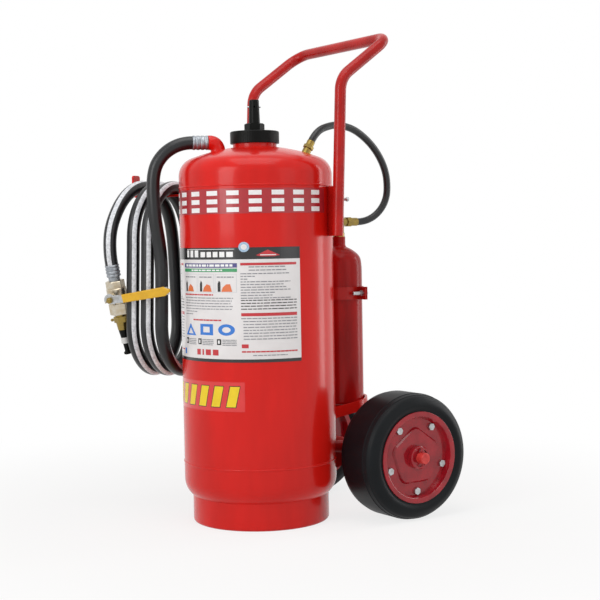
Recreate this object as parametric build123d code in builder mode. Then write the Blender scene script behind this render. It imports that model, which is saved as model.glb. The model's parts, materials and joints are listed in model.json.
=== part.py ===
from build123d import *
from math import asin, cos, degrees, pi, radians, sin, sqrt, tan
import os

# Wheeled dry-powder fire extinguisher with an outside gas bottle.
# Millimetres, +Z up. The origin is the centre of the foot ring's underside on the floor.
# The label faces -Y, the gas bottle, axle and handle are at +Y, and the axle runs along X.

os.makedirs("parts", exist_ok=True)

# ---------------------------------------------------------------- pressure vessel
shell_r = 175.0
shell_wall = 4.0
low_seam_z = 137.0
high_seam_z = 764.0
low_flange = 37.0
high_flange = 24.0
high_knuckle_r = 43.0
high_crown_r = 410.0
low_knuckle_r = 50.0
low_crown_r = 900.0
seam_bead_r = 1.8

foot_in = 18.6
foot_wall = 4.0
foot_curl = 12.0

neck_r = 50.0
neck_bore_r = 41.0
neck_h = 25.5

# ---------------------------------------------------------------- filler cap and relief valve
cap_r = 56.0
cap_skirt_h = 17.0
cap_over = 11.0
thread_gap = 0.4
gasket_t = 3.0
face_gap = 0.2
relief_nut_flats = 40.0
relief_nut_h = 18.0
barrel_r = 13.0
barrel_top_r = 11.3
barrel_h = 54.0
barrel_bore_r = 8.5
vent_r = 2.2
relief_travel = 5.0
pin_r = 2.0
pin_angle = 150.0
slide_gap = 0.3
spring_wire = 0.7

# ---------------------------------------------------------------- outlet and discharge hose
outlet_angle = -23.5
outlet_r = 85.0
outlet_rise = 17.5
elbow_r = 16.7
elbow_bore_r = 11.0
elbow_bend_r = 18.0
siphon_r = 13.0
siphon_wall = 2.0
siphon_end_z = 62.0
hose_r = 15.0
hose_bore_r = 9.5
ferrule_wall = 1.3
outlet_ferrule_len = 36.0
hook_angle = -58.0
turn_r = 116.0
limb_len = 197.0
coil_over = 4.0
coil_pitch = 38.0
first_out = 181.2
coil_end_below = 166.0
coil_start_below = 208.0

# ---------------------------------------------------------------- hose hook
hook_w = 30.0
hook_t = 5.0
hook_out = 316.0
hook_tip_over = 31.0
hook_foot_h = 46.0
hook_sag = 1.6

# ---------------------------------------------------------------- ball valve and nozzle
stem_angle = 36.5
valve_along = 75.0
ball_r = 17.0
ball_bore_r = 10.0
running_gap = 0.08
stem_r = 5.0
tang_w = 6.0
tang_deep = 3.0
lever_off = 37.0
lever_t = 3.0
lever_w = 18.0
lever_rise = 8.0
lever_len = 157.0
lever_lift = 5.0
lever_swing = 95.0
grip_start = 34.0
grip_w = 21.0
grip_t = 7.0
stop_at_r = 12.5
stop_r = 2.0
stop_middle = 245.0
coupling_len = 16.0
coupling_from = 38.0
coupling_flats = 38.0
body_wall = 4.0
cavity_gap = 2.0
ball_seat_t = 6.0
body_hex_len = 26.0
body_flats = 41.0
socket_deep = 14.0
socket_r = 13.0
gland_flats = 15.0
adaptor_to = 154.0
nozzle_ferrule_len = 28.0
lever_nut_flats = 13.0
adaptor_flats = 31.0
adaptor_bore_r = 9.0
stud_r = 2.2
stud_len = 23.0
stud_knob_r = 3.4
tip_r = 9.2
band_t = 0.7

# ---------------------------------------------------------------- handle
tube_r = 12.7
tube_wall = 2.6
handle_out = 8.0
limb_below = 116.0
limb_low_y = 97.3
limb_bend_over = 233.5
limb_lean = 0.0432
grip_back = 138.7
grip_up = 99.5
limb_bend_r = 55.0
corner_bend_r = 42.0
bracket_t = 6.0
bracket_h = 111.0

# ---------------------------------------------------------------- gas bottle and its fixings
bottle_r = 54.0
bottle_wall = 4.5
bottle_low_z = 246.0
bottle_shoulder_z = 578.0
bottle_neck_r = 15.5
bottle_neck_z = 622.0
bottle_top_z = 646.0
strap_t = 3.0
strap_h = 30.0
strap_z = 512.0
strap_gap = 0.4
ear_len = 25.0
ear_space = 1.0
split_y = 18.0
strap_bolt_x = 70.0
strap_bolt_r = 4.0
strap_bolt_len = 34.0
cradle_t = 5.0
cradle_h = 25.0
cradle_gap = 7.0
cradle_tilt = 8.0
seat_t = 5.0
seat_w = 40.0
gas_out_z = 681.0
gas_valve_r = 13.0
gas_thread_r = 9.5
tbar_z = 734.0
tbar_half = 36.0
tbar_r = 3.5
tbar_ball_r = 5.5
gas_hose_r = 8.5
gas_boss_x = 60.0
gas_boss_y = 101.0
gas_boss_rise = 2.5
gas_lean = 31.0
boss_depth = 16.0
gas_nut_len = 11.0
gas_ferrule_len = 21.0
gas_boss_len = 9.0
gas_tube_end_z = 90.0
gas_tube_bend_r = 30.0

# ---------------------------------------------------------------- axle and wheels
wheel_behind = 87.0
tyre_r = 144.0
tyre_w = 128.0
tyre_bore_r = 96.0
wheel_out = 24.0
rim_lip_h = 8.3
rim_lip_x = 60.6
rim_t = 3.0
rim_disc_x = 41.0
axle_r = 12.5
axle_half = 281.0
axle_fit = 0.06
hub_r = 26.0
hub_out_x = 64.0
hub_in_x = 58.0
hub_pocket_r = 20.0
hub_flange_r = 84.0
hub_play = 0.5
bolt_ring_r = 78.6
bolt_r = 5.0
bolt_flats = 15.0
bolt_head_h = 6.0
bolt_turn = -17.0
nut_h = 8.0
emboss_r = 76.0
emboss_corner_r = 24.0
emboss_h = 5.0
arm_x = 100.0
arm_r = 15.0
arm_shell_z = 162.0
gusset_t = 6.0

wheel_z = tyre_r
wheel_y = shell_r + wheel_behind
wheel_x = shell_r + wheel_out
rim_lip_r = tyre_bore_r + rim_lip_h
handle_half = shell_r + handle_out
limb_low_z = high_seam_z - limb_below
limb_bend_z = high_seam_z + limb_bend_over
foot_r = shell_r - foot_in
cavity_r = ball_r + cavity_gap
body_r = cavity_r + body_wall
bottle_y = shell_r + strap_t + 2 * strap_gap + bottle_r


def around(angle, radius, z=0.0):
    """A point at an angle about the vessel: 0 faces the front, positive turns to the right."""
    return Vector(radius * sin(radians(angle)), -radius * cos(radians(angle)), z)


def by_hook(out, side, z):
    """A point in the hook's own directions: out from the vessel's axis, and to one side."""
    return around(hook_angle, out) + around(hook_angle + 90, side) + Vector(0, 0, z)


def bend_radii(points):
    """The largest arc that each corner's two runs allow; an end run is shared by one arc only."""
    found = []
    last = len(points) - 2
    for i in range(1, len(points) - 1):
        back, ahead = points[i] - points[i - 1], points[i + 1] - points[i]
        turn = radians(back.get_angle(ahead))
        shares = [0.9 if i == 1 else 0.45, 0.9 if i == last else 0.45]
        room = min(shares[0] * back.length, shares[1] * ahead.length)
        found.append(room / tan(turn / 2))
    return found


def report_tube(name, piece, line, radius, radii=()):
    """Print a tube's length, its radii and how its volume compares with section times length."""
    share = piece.part.volume / (pi * radius**2 * line.length)
    print(f"{name}: {line.length:.0f} mm, volume share {share:.4f}, radii", [round(r) for r in radii])


def across(plane):
    """The plane that holds another plane's axis: its x is that one's x and its y that one's axis."""
    return Plane(origin=plane.origin, x_dir=plane.x_dir, z_dir=-plane.y_dir)


def at_start(line):
    return Plane(origin=line @ 0, z_dir=line % 0)


# ================================================================ pressure vessel
# A dished end: flange, knuckle and crown, as the corners of its section.
def dish(radius, flange_z, up, knuckle, crown):
    centre_r = radius - knuckle
    centre_drop = sqrt((crown - knuckle) ** 2 - centre_r**2)
    grow = crown / (crown - knuckle)
    meet = (centre_r * grow, flange_z + up * centre_drop * (grow - 1))
    apex = (0, flange_z + up * (crown - centre_drop))
    return meet, apex


top_tangent_z = high_seam_z + high_flange
low_tangent_z = low_seam_z - low_flange


def dome_height(r):
    """Height of the top dish's outer face at a distance from the axis, on its crown."""
    centre_z = dish(shell_r, top_tangent_z, 1, high_knuckle_r, high_crown_r)[1][1] - high_crown_r
    return centre_z + sqrt(high_crown_r**2 - r**2)


# What stands on the top dish takes its height from the dish, to the nearest millimetre.
neck_top_z = round(dome_height(neck_r) + neck_h)
cap_low_z = neck_top_z - cap_skirt_h
cap_high_z = neck_top_z + cap_over
outlet_z = round(dome_height(outlet_r) + outlet_rise)
gas_boss_z = round(dome_height(sqrt(gas_boss_x**2 + gas_boss_y**2)) + gas_boss_rise)


def dish_section(seam_z, tangent_z, up, knuckle_r, crown_r):
    """Draw one dished end's wall between its outer and inner faces."""
    inner_r, knuckle_in, crown_in = shell_r - shell_wall, knuckle_r - shell_wall, crown_r - shell_wall
    meet, apex = dish(shell_r, tangent_z, up, knuckle_r, crown_r)
    meet_in, apex_in = dish(inner_r, tangent_z, up, knuckle_in, crown_in)
    with BuildLine() as outline:
        Line((shell_r, seam_z), (shell_r, tangent_z))
        TangentArc((shell_r, tangent_z), meet, tangent=(0, up))
        RadiusArc(meet, apex, -up * crown_r)
        Line(apex, apex_in)
        RadiusArc(apex_in, meet_in, up * crown_in)
        TangentArc((inner_r, tangent_z), meet_in, tangent=(0, up))
        Line((inner_r, tangent_z), (inner_r, seam_z))
        Line((inner_r, seam_z), (shell_r, seam_z))
    make_face(outline.edges())


outlet_foot = around(outlet_angle, outlet_r)

with BuildPart() as top_dome:
    with BuildSketch(Plane.XZ):
        dish_section(high_seam_z, top_tangent_z, 1, high_knuckle_r, high_crown_r)
    revolve(axis=Axis.Z)
    with BuildSketch(Plane.XY.offset(high_seam_z)):
        Circle(neck_r)
        with Locations((outlet_foot.X, outlet_foot.Y)):
            Circle(elbow_r)
        with Locations((gas_boss_x, gas_boss_y)):
            Circle(gas_hose_r)
    extrude(amount=shell_r, mode=Mode.SUBTRACT)

with BuildPart() as bottom_dome:
    with BuildSketch(Plane.XZ):
        dish_section(low_seam_z, low_tangent_z, -1, low_knuckle_r, low_crown_r)
    revolve(axis=Axis.Z)

with BuildPart() as shell_cylinder:
    with BuildSketch(Plane.XY.offset(low_seam_z)):
        Circle(shell_r)
        Circle(shell_r - shell_wall, mode=Mode.SUBTRACT)
    extrude(amount=high_seam_z - low_seam_z)
    with BuildSketch(Plane.XZ):
        for z, up in ((low_seam_z, 1), (high_seam_z, -1)):
            with Locations((shell_r - seam_bead_r / 2, z + up * seam_bead_r)):
                Circle(seam_bead_r)
    revolve(axis=Axis.Z)

# The skirt that the vessel stands on: its top edge meets the bottom dish at the knuckle.
foot_top_z = low_tangent_z - sqrt(low_knuckle_r**2 - (foot_r - shell_r + low_knuckle_r) ** 2)
with BuildPart() as foot_ring:
    with BuildSketch(Plane.XZ):
        with BuildLine():
            Polyline(
                (foot_r, 5),
                (foot_r, foot_top_z),
                (foot_r - foot_wall, foot_top_z - 3),
                (foot_r - foot_wall, 8),
                (foot_r - foot_curl, 4),
                (foot_r - foot_curl, 0),
                (foot_r - 5, 0),
            )
            TangentArc((foot_r, 5), (foot_r - 5, 0), tangent=(0, -1))
        make_face()
    revolve(axis=Axis.Z)
    add(bottom_dome.part, mode=Mode.SUBTRACT)

with BuildPart() as neck_ring:
    low = dome_height(neck_r) - 2 * shell_wall
    with BuildSketch(Plane.XY.offset(low)):
        Circle(neck_r)
        Circle(neck_bore_r, mode=Mode.SUBTRACT)
    extrude(amount=neck_top_z - low)
    chamfer(neck_ring.edges().filter_by(GeomType.CIRCLE).group_by(Axis.Z)[-1], 1)

# ================================================================ filler cap and relief valve
gasket_low = neck_top_z + face_gap
cap_under = gasket_low + gasket_t + face_gap

with BuildPart() as cap_gasket:
    with BuildSketch(Plane.XY.offset(gasket_low)):
        Circle(neck_r - 1)
        Circle(neck_bore_r - 2, mode=Mode.SUBTRACT)
    extrude(amount=gasket_t)

with BuildPart() as filler_cap:
    with BuildSketch(Plane.XY.offset(cap_low_z)):
        Circle(cap_r)
    extrude(amount=cap_high_z - cap_low_z)
    chamfer(filler_cap.edges().filter_by(GeomType.CIRCLE), 2.5)
    with BuildSketch(Plane.XY.offset(cap_low_z)):
        Circle(neck_r + thread_gap)
    extrude(amount=cap_under - cap_low_z, mode=Mode.SUBTRACT)
    with BuildSketch(Plane.XY.offset(cap_under)):
        Circle(barrel_bore_r)
    extrude(amount=cap_high_z, mode=Mode.SUBTRACT)

nut_top_z = cap_high_z + relief_nut_h
seat_r = barrel_bore_r - 3
with BuildPart() as relief_nut:
    with BuildSketch(Plane.XY.offset(cap_high_z)):
        RegularPolygon(relief_nut_flats / 2, 6, major_radius=False)
    extrude(amount=relief_nut_h)
    with BuildSketch(Plane.XZ):
        with BuildLine():
            Polyline((relief_nut_flats, nut_top_z - 12), (relief_nut_flats, nut_top_z),
                     (relief_nut_flats / 2, nut_top_z), close=True)
        make_face()
    revolve(axis=Axis.Z, mode=Mode.SUBTRACT)
    with BuildSketch(Plane.XY.offset(cap_high_z)):
        Circle(seat_r)
    extrude(amount=relief_nut_h, mode=Mode.SUBTRACT)

barrel_top_z = nut_top_z + barrel_h
pin_z = nut_top_z + 0.7 * barrel_h
pin_plane = Plane(origin=(0, 0, pin_z), z_dir=around(pin_angle, 1))
vent_plane = Plane(origin=(0, 0, pin_z), z_dir=around(pin_angle - 90, 1))

with BuildPart() as relief_barrel:
    with BuildSketch(Plane.XZ):
        with BuildLine():
            Polyline(
                (barrel_bore_r, nut_top_z),
                (barrel_r, nut_top_z),
                (barrel_top_r, barrel_top_z - 1.5),
                (barrel_top_r - 1.5, barrel_top_z),
                (4.5, barrel_top_z),
                (4.5, barrel_top_z - 4),
                (barrel_bore_r, barrel_top_z - 4),
                close=True,
            )
        make_face()
    revolve(axis=Axis.Z)
    with BuildSketch(vent_plane):
        Circle(vent_r)
    extrude(amount=barrel_r, both=True, mode=Mode.SUBTRACT)
    slot_plane = Plane(origin=(0, 0, pin_z + relief_travel / 2), x_dir=(0, 0, 1), z_dir=pin_plane.z_dir)
    with BuildSketch(slot_plane):
        SlotOverall(relief_travel + 2 * (pin_r + slide_gap), 2 * (pin_r + slide_gap))
    extrude(amount=barrel_r, both=True, mode=Mode.SUBTRACT)

poppet_low = nut_top_z + face_gap
with BuildPart() as relief_poppet:
    with BuildSketch(Plane.XY.offset(poppet_low)):
        Circle(barrel_bore_r - slide_gap)
    extrude(amount=5)
    with BuildSketch(Plane.XY.offset(poppet_low)):
        Circle(4.2)
    extrude(amount=barrel_top_z - poppet_low)
    with BuildSketch(pin_plane):
        Circle(pin_r)
    extrude(amount=barrel_r, both=True, mode=Mode.SUBTRACT)

with BuildPart() as relief_pin:
    with BuildSketch(pin_plane):
        Circle(pin_r)
    extrude(amount=barrel_r + 2.5, both=True)
    chamfer(relief_pin.edges().filter_by(GeomType.CIRCLE), 0.6)

# The spring stands on the poppet's plate and pushes against the barrel's closed end.
spring_low = poppet_low + 5 + spring_wire + 0.3
spring_high = pin_z - pin_r - spring_wire - 0.5
with BuildPart() as relief_spring:
    with BuildLine() as spring_line:
        Helix(pitch=(spring_high - spring_low) / 7, height=spring_high - spring_low, radius=6.3,
              center=(0, 0, spring_low))
    with BuildSketch(at_start(spring_line.line)):
        RegularPolygon(spring_wire, 6)
    sweep(path=spring_line.line, is_frenet=True)

# ================================================================ outlet, dip tube and hose
outlet_side = Plane(origin=(0, 0, 0), x_dir=around(outlet_angle, 1), z_dir=around(outlet_angle - 90, 1))
ferrule_start = outlet_r + elbow_bend_r + 4
lead_start = ferrule_start + outlet_ferrule_len
elbow_foot_z = outlet_z - elbow_bend_r - 7

with BuildPart() as outlet_elbow:
    with BuildLine(outlet_side) as elbow_line:
        Line((outlet_r, elbow_foot_z), (outlet_r, outlet_z - elbow_bend_r))
        TangentArc((outlet_r, outlet_z - elbow_bend_r), (outlet_r + elbow_bend_r, outlet_z), tangent=(0, 1))
        Line((outlet_r + elbow_bend_r, outlet_z), (ferrule_start, outlet_z))
    with BuildSketch(at_start(elbow_line.line)):
        Circle(elbow_r)
        Circle(elbow_bore_r, mode=Mode.SUBTRACT)
    sweep(path=elbow_line.line)

with BuildPart() as siphon_tube:
    with BuildSketch(Plane(origin=around(outlet_angle, outlet_r, elbow_foot_z), z_dir=(0, 0, -1))):
        Circle(siphon_r)
        Circle(siphon_r - siphon_wall, mode=Mode.SUBTRACT)
    extrude(amount=elbow_foot_z - siphon_end_z)

ferrule_r = hose_r + ferrule_wall
lead_dir = around(outlet_angle, 1)
ferrule_plane = Plane(origin=around(outlet_angle, ferrule_start, outlet_z), x_dir=(0, 0, 1), z_dir=lead_dir)


def ferrule_section(length, radius, bore_r):
    """A crimped ferrule's wall: plain ends and three shallow rolled grooves."""
    step = length / 7
    with BuildLine() as outline:
        Polyline((bore_r, length), (bore_r, 0), (radius - 1.5, 0), (radius, 1.5), (radius, step))
        for i in range(3):
            low = step * (1 + 2 * i)
            ThreePointArc((radius, low), (radius - 1.2, low + step / 2), (radius, low + step))
            Line((radius, low + step), (radius, low + 2 * step if i < 2 else length - 1))
        Polyline((radius, length - 1), (radius - 1, length), (bore_r, length))
    make_face(outline.edges())


with BuildPart() as outlet_ferrule:
    with BuildSketch(across(ferrule_plane)):
        ferrule_section(outlet_ferrule_len, ferrule_r, hose_bore_r)
    revolve(axis=Axis(ferrule_plane.origin, lead_dir))

# The coil: stadium turns that hang on the hook and step outwards at a steady rate.
coil_top_z = high_seam_z + coil_over
coil_start_z = coil_top_z - coil_start_below
coil_end_z = coil_top_z - coil_end_below
coil_high = coil_top_z - turn_r
coil_low = coil_high - limb_len
turn_len = 2 * limb_len + 2 * pi * turn_r
creep = coil_pitch / turn_len


def heading(side, up):
    """The coil's direction where it runs to one side or up, with its steady step outwards."""
    return (around(hook_angle, creep) + around(hook_angle + 90, side) + Vector(0, 0, up)).normalized()


def biarc(start, start_dir, end, end_dir):
    """Two arcs, tangent to each other and to both directions, between two points."""
    chord, lean, spread = end - start, start_dir + end_dir, 1 - start_dir.dot(end_dir)
    reach = (-chord.dot(lean) + sqrt(chord.dot(lean) ** 2 + 2 * spread * chord.dot(chord))) / (2 * spread)
    middle = (start + end + (start_dir - end_dir) * reach) / 2
    middle_dir = (end - end_dir * reach) - (start + start_dir * reach)
    TangentArc(start, middle, tangent=start_dir)
    TangentArc(middle, end, tangent=middle_dir.normalized())


quarter_step = creep * pi * turn_r / 2
limb_step = creep * limb_len
with BuildPart() as discharge_hose_coil:
    with BuildLine() as coil_line:
        out = first_out
        for turn in range(3):
            near_top = by_hook(out, turn_r, coil_high)
            near_low = by_hook(out + limb_step, turn_r, coil_low)
            first = by_hook(out + creep * (coil_high - coil_start_z), turn_r, coil_start_z)
            Line(near_top if turn else first, near_low)
            out += limb_step + quarter_step
            biarc(near_low, heading(0, -1), by_hook(out, 0, coil_low - turn_r), heading(-1, 0))
            out += quarter_step
            far_low = by_hook(out, -turn_r, coil_low)
            biarc(by_hook(out - quarter_step, 0, coil_low - turn_r), heading(-1, 0), far_low, heading(0, 1))
            if turn == 2:
                Line(far_low, by_hook(out + creep * (coil_end_z - coil_low), -turn_r, coil_end_z))
                break
            out += limb_step
            far_top = by_hook(out, -turn_r, coil_high)
            Line(far_low, far_top)
            out += quarter_step
            biarc(far_top, heading(0, 1), by_hook(out, 0, coil_top_z), heading(1, 0))
            out += quarter_step
            biarc(by_hook(out - quarter_step, 0, coil_top_z), heading(1, 0),
                  by_hook(out, turn_r, coil_high), heading(0, -1))
    with BuildSketch(at_start(coil_line.line)):
        Circle(hose_r)
    sweep(path=coil_line.line)

coil_from, coil_to = coil_line.line @ 0, coil_line.line @ 1
coil_from_dir, coil_to_dir = coil_line.line % 0, coil_line.line % 1

# From the outlet the hose bends down beside the vessel and joins the coil.
lead_points = [
    around(outlet_angle, lead_start, outlet_z),
    around(outlet_angle, 169, outlet_z),
    around(outlet_angle, 211, outlet_z - 24),
    around(outlet_angle, 235, outlet_z - 67),
    around(outlet_angle, 233, outlet_z - 162),
    coil_from - coil_from_dir * 50,
    coil_from,
]
with BuildPart() as discharge_hose_lead:
    with BuildLine() as lead_line:
        FilletPolyline(*lead_points, radius=bend_radii(lead_points))
    with BuildSketch(at_start(lead_line.line)):
        Circle(hose_r)
    sweep(path=lead_line.line)

# The last stretch goes once more over the hook and hangs down to the nozzle.
tail_points = [
    coil_to,
    coil_to + coil_to_dir * 81,
    by_hook(287.5, -70, coil_top_z - 17),
    by_hook(291, 6, coil_top_z + 10),
    by_hook(296, 86, coil_top_z - 16.5),
    by_hook(303, 138, coil_top_z - 85.5),
    by_hook(308.6, 138, coil_top_z - 146.7),
    by_hook(307, 131.6, coil_top_z - 177),
]
with BuildPart() as discharge_hose_tail:
    with BuildLine() as tail_line:
        FilletPolyline(*tail_points, radius=bend_radii(tail_points))
    with BuildSketch(at_start(tail_line.line)):
        Circle(hose_r)
    sweep(path=tail_line.line)

report_tube("hose lead", discharge_hose_lead, lead_line.wire(), hose_r, bend_radii(lead_points))
report_tube("hose coil", discharge_hose_coil, coil_line.wire(), hose_r, [turn_r])
report_tube("hose tail", discharge_hose_tail, tail_line.wire(), hose_r, bend_radii(tail_points))
coil_steps = 400
coil_spots = [coil_line.line @ (i / coil_steps) for i in range(coil_steps + 1)]
apart = int(coil_steps * 4 * hose_r / coil_line.wire().length)
least = min(
    (coil_spots[i] - coil_spots[j]).length
    for i in range(coil_steps + 1)
    for j in range(i + apart, coil_steps + 1)
)
print(f"hose coil: least gap to itself {least - 2 * hose_r:.1f} mm")

# ================================================================ hose hook
# A flat bar that stands out from the vessel, turned down on its wall and up at its tip.
hook_top_z = coil_top_z - hose_r - hook_sag
hook_side = Plane(origin=(0, 0, 0), x_dir=around(hook_angle, 1), z_dir=around(hook_angle - 90, 1))
with BuildPart() as hose_hook:
    with BuildSketch(hook_side):
        with BuildLine():
            Polyline(
                (shell_r - hook_t, hook_top_z - hook_foot_h),
                (shell_r - hook_t, hook_top_z),
                (hook_out - hook_t / 2, hook_top_z),
                (hook_out - hook_t / 2, coil_top_z + hook_tip_over),
                (hook_out + hook_t / 2, coil_top_z + hook_tip_over),
                (hook_out + hook_t / 2, hook_top_z - hook_t),
                (shell_r + hook_t, hook_top_z - hook_t),
                (shell_r + hook_t, hook_top_z - hook_foot_h),
                close=True,
            )
        make_face()
    extrude(amount=hook_w / 2, both=True)
    bends = hose_hook.edges().filter_by(lambda e: abs((e % 0.5).dot(hook_side.z_dir)) > 0.99)
    tip_bend = bends.sort_by(lambda e: (e.center() - by_hook(hook_out, 0, hook_top_z - hook_t)).length)
    fillet(tip_bend[0], 2 * hook_t)
    fillet(hose_hook.edges().filter_by(lambda e: abs((e % 0.5).dot(hook_side.z_dir)) > 0.99).sort_by(
        lambda e: (e.center() - by_hook(hook_out - hook_t / 2, 0, hook_top_z)).length)[0], hook_t)
    fillet(hose_hook.edges().filter_by(lambda e: abs((e % 0.5).dot(around(hook_angle, 1))) > 0.99)
           .group_by(Axis.Z)[-1], hook_w / 5)
    with BuildSketch(Plane.XY.offset(hook_top_z - hook_foot_h)):
        Circle(shell_r)
    extrude(amount=hook_foot_h, mode=Mode.SUBTRACT)

# ================================================================ ball valve and nozzle
hose_end = tail_line.line @ 1
flow = tail_line.line % 1
stem_dir = around(stem_angle, 1)
stem_dir = (stem_dir - flow * stem_dir.dot(flow)).normalized()
lever_dir = stem_dir.cross(flow).rotate(Axis((0, 0, 0), stem_dir), lever_lift)
nozzle = Plane(origin=hose_end, x_dir=stem_dir, z_dir=flow)
nozzle_axis = Axis(hose_end, flow)
valve_centre = hose_end + flow * valve_along
stem_plane = Plane(origin=valve_centre, x_dir=lever_dir, z_dir=stem_dir)
stem_axis = Axis(valve_centre, stem_dir)

body_from = coupling_from + coupling_len
body_hex_from = valve_along + ball_r - 1
body_to = body_hex_from + body_hex_len

with BuildPart() as nozzle_ferrule:
    with BuildSketch(across(nozzle)):
        ferrule_section(nozzle_ferrule_len, ferrule_r, hose_bore_r)
    revolve(axis=nozzle_axis)
    with BuildSketch(nozzle.offset(nozzle_ferrule_len)):
        Circle(ferrule_r - 3)
        Circle(hose_bore_r, mode=Mode.SUBTRACT)
    extrude(amount=coupling_from - nozzle_ferrule_len)

# The valve's end cap screws into the body and holds the upper seat against the ball.
spigot_to = valve_along - ball_r + 0.3
with BuildPart() as nozzle_coupling:
    with BuildSketch(nozzle.offset(coupling_from)):
        RegularPolygon(coupling_flats / 2, 6, major_radius=False)
    extrude(amount=coupling_len)
    chamfer(nozzle_coupling.faces().sort_by(nozzle_axis)[0].edges(), 1.2)
    with BuildSketch(nozzle.offset(body_from)):
        Circle(cavity_r - 0.1)
    extrude(amount=spigot_to - body_from)
    with BuildSketch(nozzle.offset(coupling_from)):
        Circle(ball_bore_r)
    extrude(amount=spigot_to - coupling_from, mode=Mode.SUBTRACT)

boss_top = lever_off - 8.0
with BuildPart() as valve_body:
    with BuildSketch(across(nozzle)):
        with BuildLine():
            Polyline((0, body_from), (body_r - 2, body_from), (body_r, body_from + 2),
                     (body_r, valve_along + 8), (body_r - 3, body_hex_from), (0, body_hex_from), close=True)
        make_face()
    revolve(axis=nozzle_axis)
    with BuildSketch(nozzle.offset(body_hex_from)):
        RegularPolygon(body_flats / 2, 6, major_radius=False)
    extrude(amount=body_hex_len)
    chamfer(valve_body.faces().sort_by(nozzle_axis)[-1].edges(), 1.2)
    with BuildSketch(stem_plane):
        Circle(11)
    extrude(amount=boss_top)
    with BuildSketch(across(nozzle)):
        with BuildLine():
            Polyline((0, body_from), (cavity_r, body_from), (cavity_r, body_hex_from),
                     (ball_bore_r, body_hex_from), (ball_bore_r, body_to - socket_deep),
                     (socket_r, body_to - socket_deep), (socket_r, body_to), (0, body_to), close=True)
        make_face()
    revolve(axis=nozzle_axis, mode=Mode.SUBTRACT)
    with BuildSketch(stem_plane):
        Circle(stem_r + running_gap)
    extrude(amount=boss_top, mode=Mode.SUBTRACT)
    # stop post beside the stem
    with BuildSketch(stem_plane.offset(boss_top - 12)):
        with PolarLocations(stop_at_r, 1, start_angle=stop_middle - lever_swing / 2):
            Circle(stop_r)
    extrude(amount=lever_off + lever_t - boss_top + 13)

with BuildPart() as valve_ball:
    with BuildSketch(Plane(origin=valve_centre, x_dir=stem_dir, z_dir=lever_dir)):
        Circle(ball_r)
        with BuildLine():
            Polyline((-2 * ball_r, 0), (-2 * ball_r, -2 * ball_r), (2 * ball_r, -2 * ball_r), (2 * ball_r, 0),
                     close=True)
        make_face(mode=Mode.SUBTRACT)
    revolve(axis=stem_axis)
    with BuildSketch(Plane(origin=valve_centre, x_dir=stem_dir, z_dir=lever_dir)):
        Circle(ball_bore_r)
    extrude(amount=ball_r, both=True, mode=Mode.SUBTRACT)
    with BuildSketch(stem_plane.offset(ball_r - tang_deep)):
        Rectangle(ball_r * 2, tang_w + 2 * running_gap)
    extrude(amount=tang_deep, mode=Mode.SUBTRACT)

with BuildPart() as valve_seats:
    for low, high in ((spigot_to, spigot_to + ball_seat_t), (body_hex_from - ball_seat_t, body_hex_from)):
        with BuildSketch(nozzle.offset(low)):
            Circle(ball_r - 1)
            Circle(ball_bore_r + 0.5, mode=Mode.SUBTRACT)
        extrude(amount=high - low)
    with Locations(valve_centre):
        Sphere(ball_r + 0.05, mode=Mode.SUBTRACT)

lever_top = lever_off + lever_t
with BuildPart() as valve_stem:
    with BuildSketch(stem_plane.offset(ball_r + 0.3)):
        Circle(stem_r)
    extrude(amount=lever_top + 8 - ball_r - 0.3)
    with BuildSketch(stem_plane.offset(ball_r - tang_deep + 0.2)):
        Rectangle(stem_r * 1.6, tang_w)
    extrude(amount=tang_deep)
    chamfer(valve_stem.faces().sort_by(stem_axis)[-1].edges(), 0.8)

with BuildPart() as gland_nut:
    with BuildSketch(stem_plane.offset(boss_top)):
        RegularPolygon(gland_flats / 2, 6, major_radius=False)
        Circle(stem_r + running_gap, mode=Mode.SUBTRACT)
    extrude(amount=lever_off - boss_top - 0.4)
    chamfer(gland_nut.faces().sort_by(stem_axis)[-1].outer_wire().edges(), 1)

# The lever: a cranked flat bar whose hub has a notch that runs against the stop post.
notch_half = lever_swing / 2 + degrees(asin(stop_r / stop_at_r)) + 1.5
with BuildPart() as valve_lever:
    with BuildSketch(across(stem_plane)):
        with BuildLine():
            Polyline(
                (-20, lever_off),
                (20, lever_off),
                (grip_start, lever_off + lever_rise),
                (lever_len - 4, lever_off + lever_rise),
                (lever_len - 4, lever_off + lever_rise + lever_t),
                (grip_start - 1.5, lever_off + lever_rise + lever_t),
                (18.5, lever_off + lever_t),
                (-20, lever_off + lever_t),
                close=True,
            )
        make_face()
    extrude(amount=20, both=True)
    with BuildSketch(stem_plane.offset(lever_off - 1)):
        Circle(stop_at_r + stop_r)
        with BuildLine():
            far = 2 * stop_at_r
            Polyline((0, 0), Vector(far, 0).rotate(Axis.Z, stop_middle - notch_half),
                     Vector(1.6 * far, 0).rotate(Axis.Z, stop_middle),
                     Vector(far, 0).rotate(Axis.Z, stop_middle + notch_half), close=True)
        make_face(mode=Mode.SUBTRACT)
        Circle(stop_at_r - stop_r - 1.2)
        with Locations(((lever_len - 4) / 2, 0)):
            Rectangle(lever_len - 4, lever_w)
        Circle(stem_r + 0.02, mode=Mode.SUBTRACT)
    extrude(amount=lever_rise + lever_t + 2, mode=Mode.INTERSECT)

with BuildPart() as lever_grip:
    with BuildSketch(stem_plane.offset(lever_off + lever_rise + lever_t / 2 - grip_t / 2)):
        with BuildLine():
            Polyline(
                (grip_start + 2, -grip_w / 2 + 1),
                (lever_len - 14, -grip_w / 2),
                (lever_len, -3),
                (lever_len, 3),
                (lever_len - 14, grip_w / 2),
                (grip_start + 2, grip_w / 2 - 1),
                close=True,
            )
        make_face()
        fillet(vertices().sort_by(Axis.X)[-4:], 3)
    extrude(amount=grip_t)
    grip_faces = lever_grip.faces().sort_by(stem_axis)
    fillet(grip_faces[-1].edges() + grip_faces[0].edges(), 2)
    add(valve_lever.part, mode=Mode.SUBTRACT)

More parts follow.
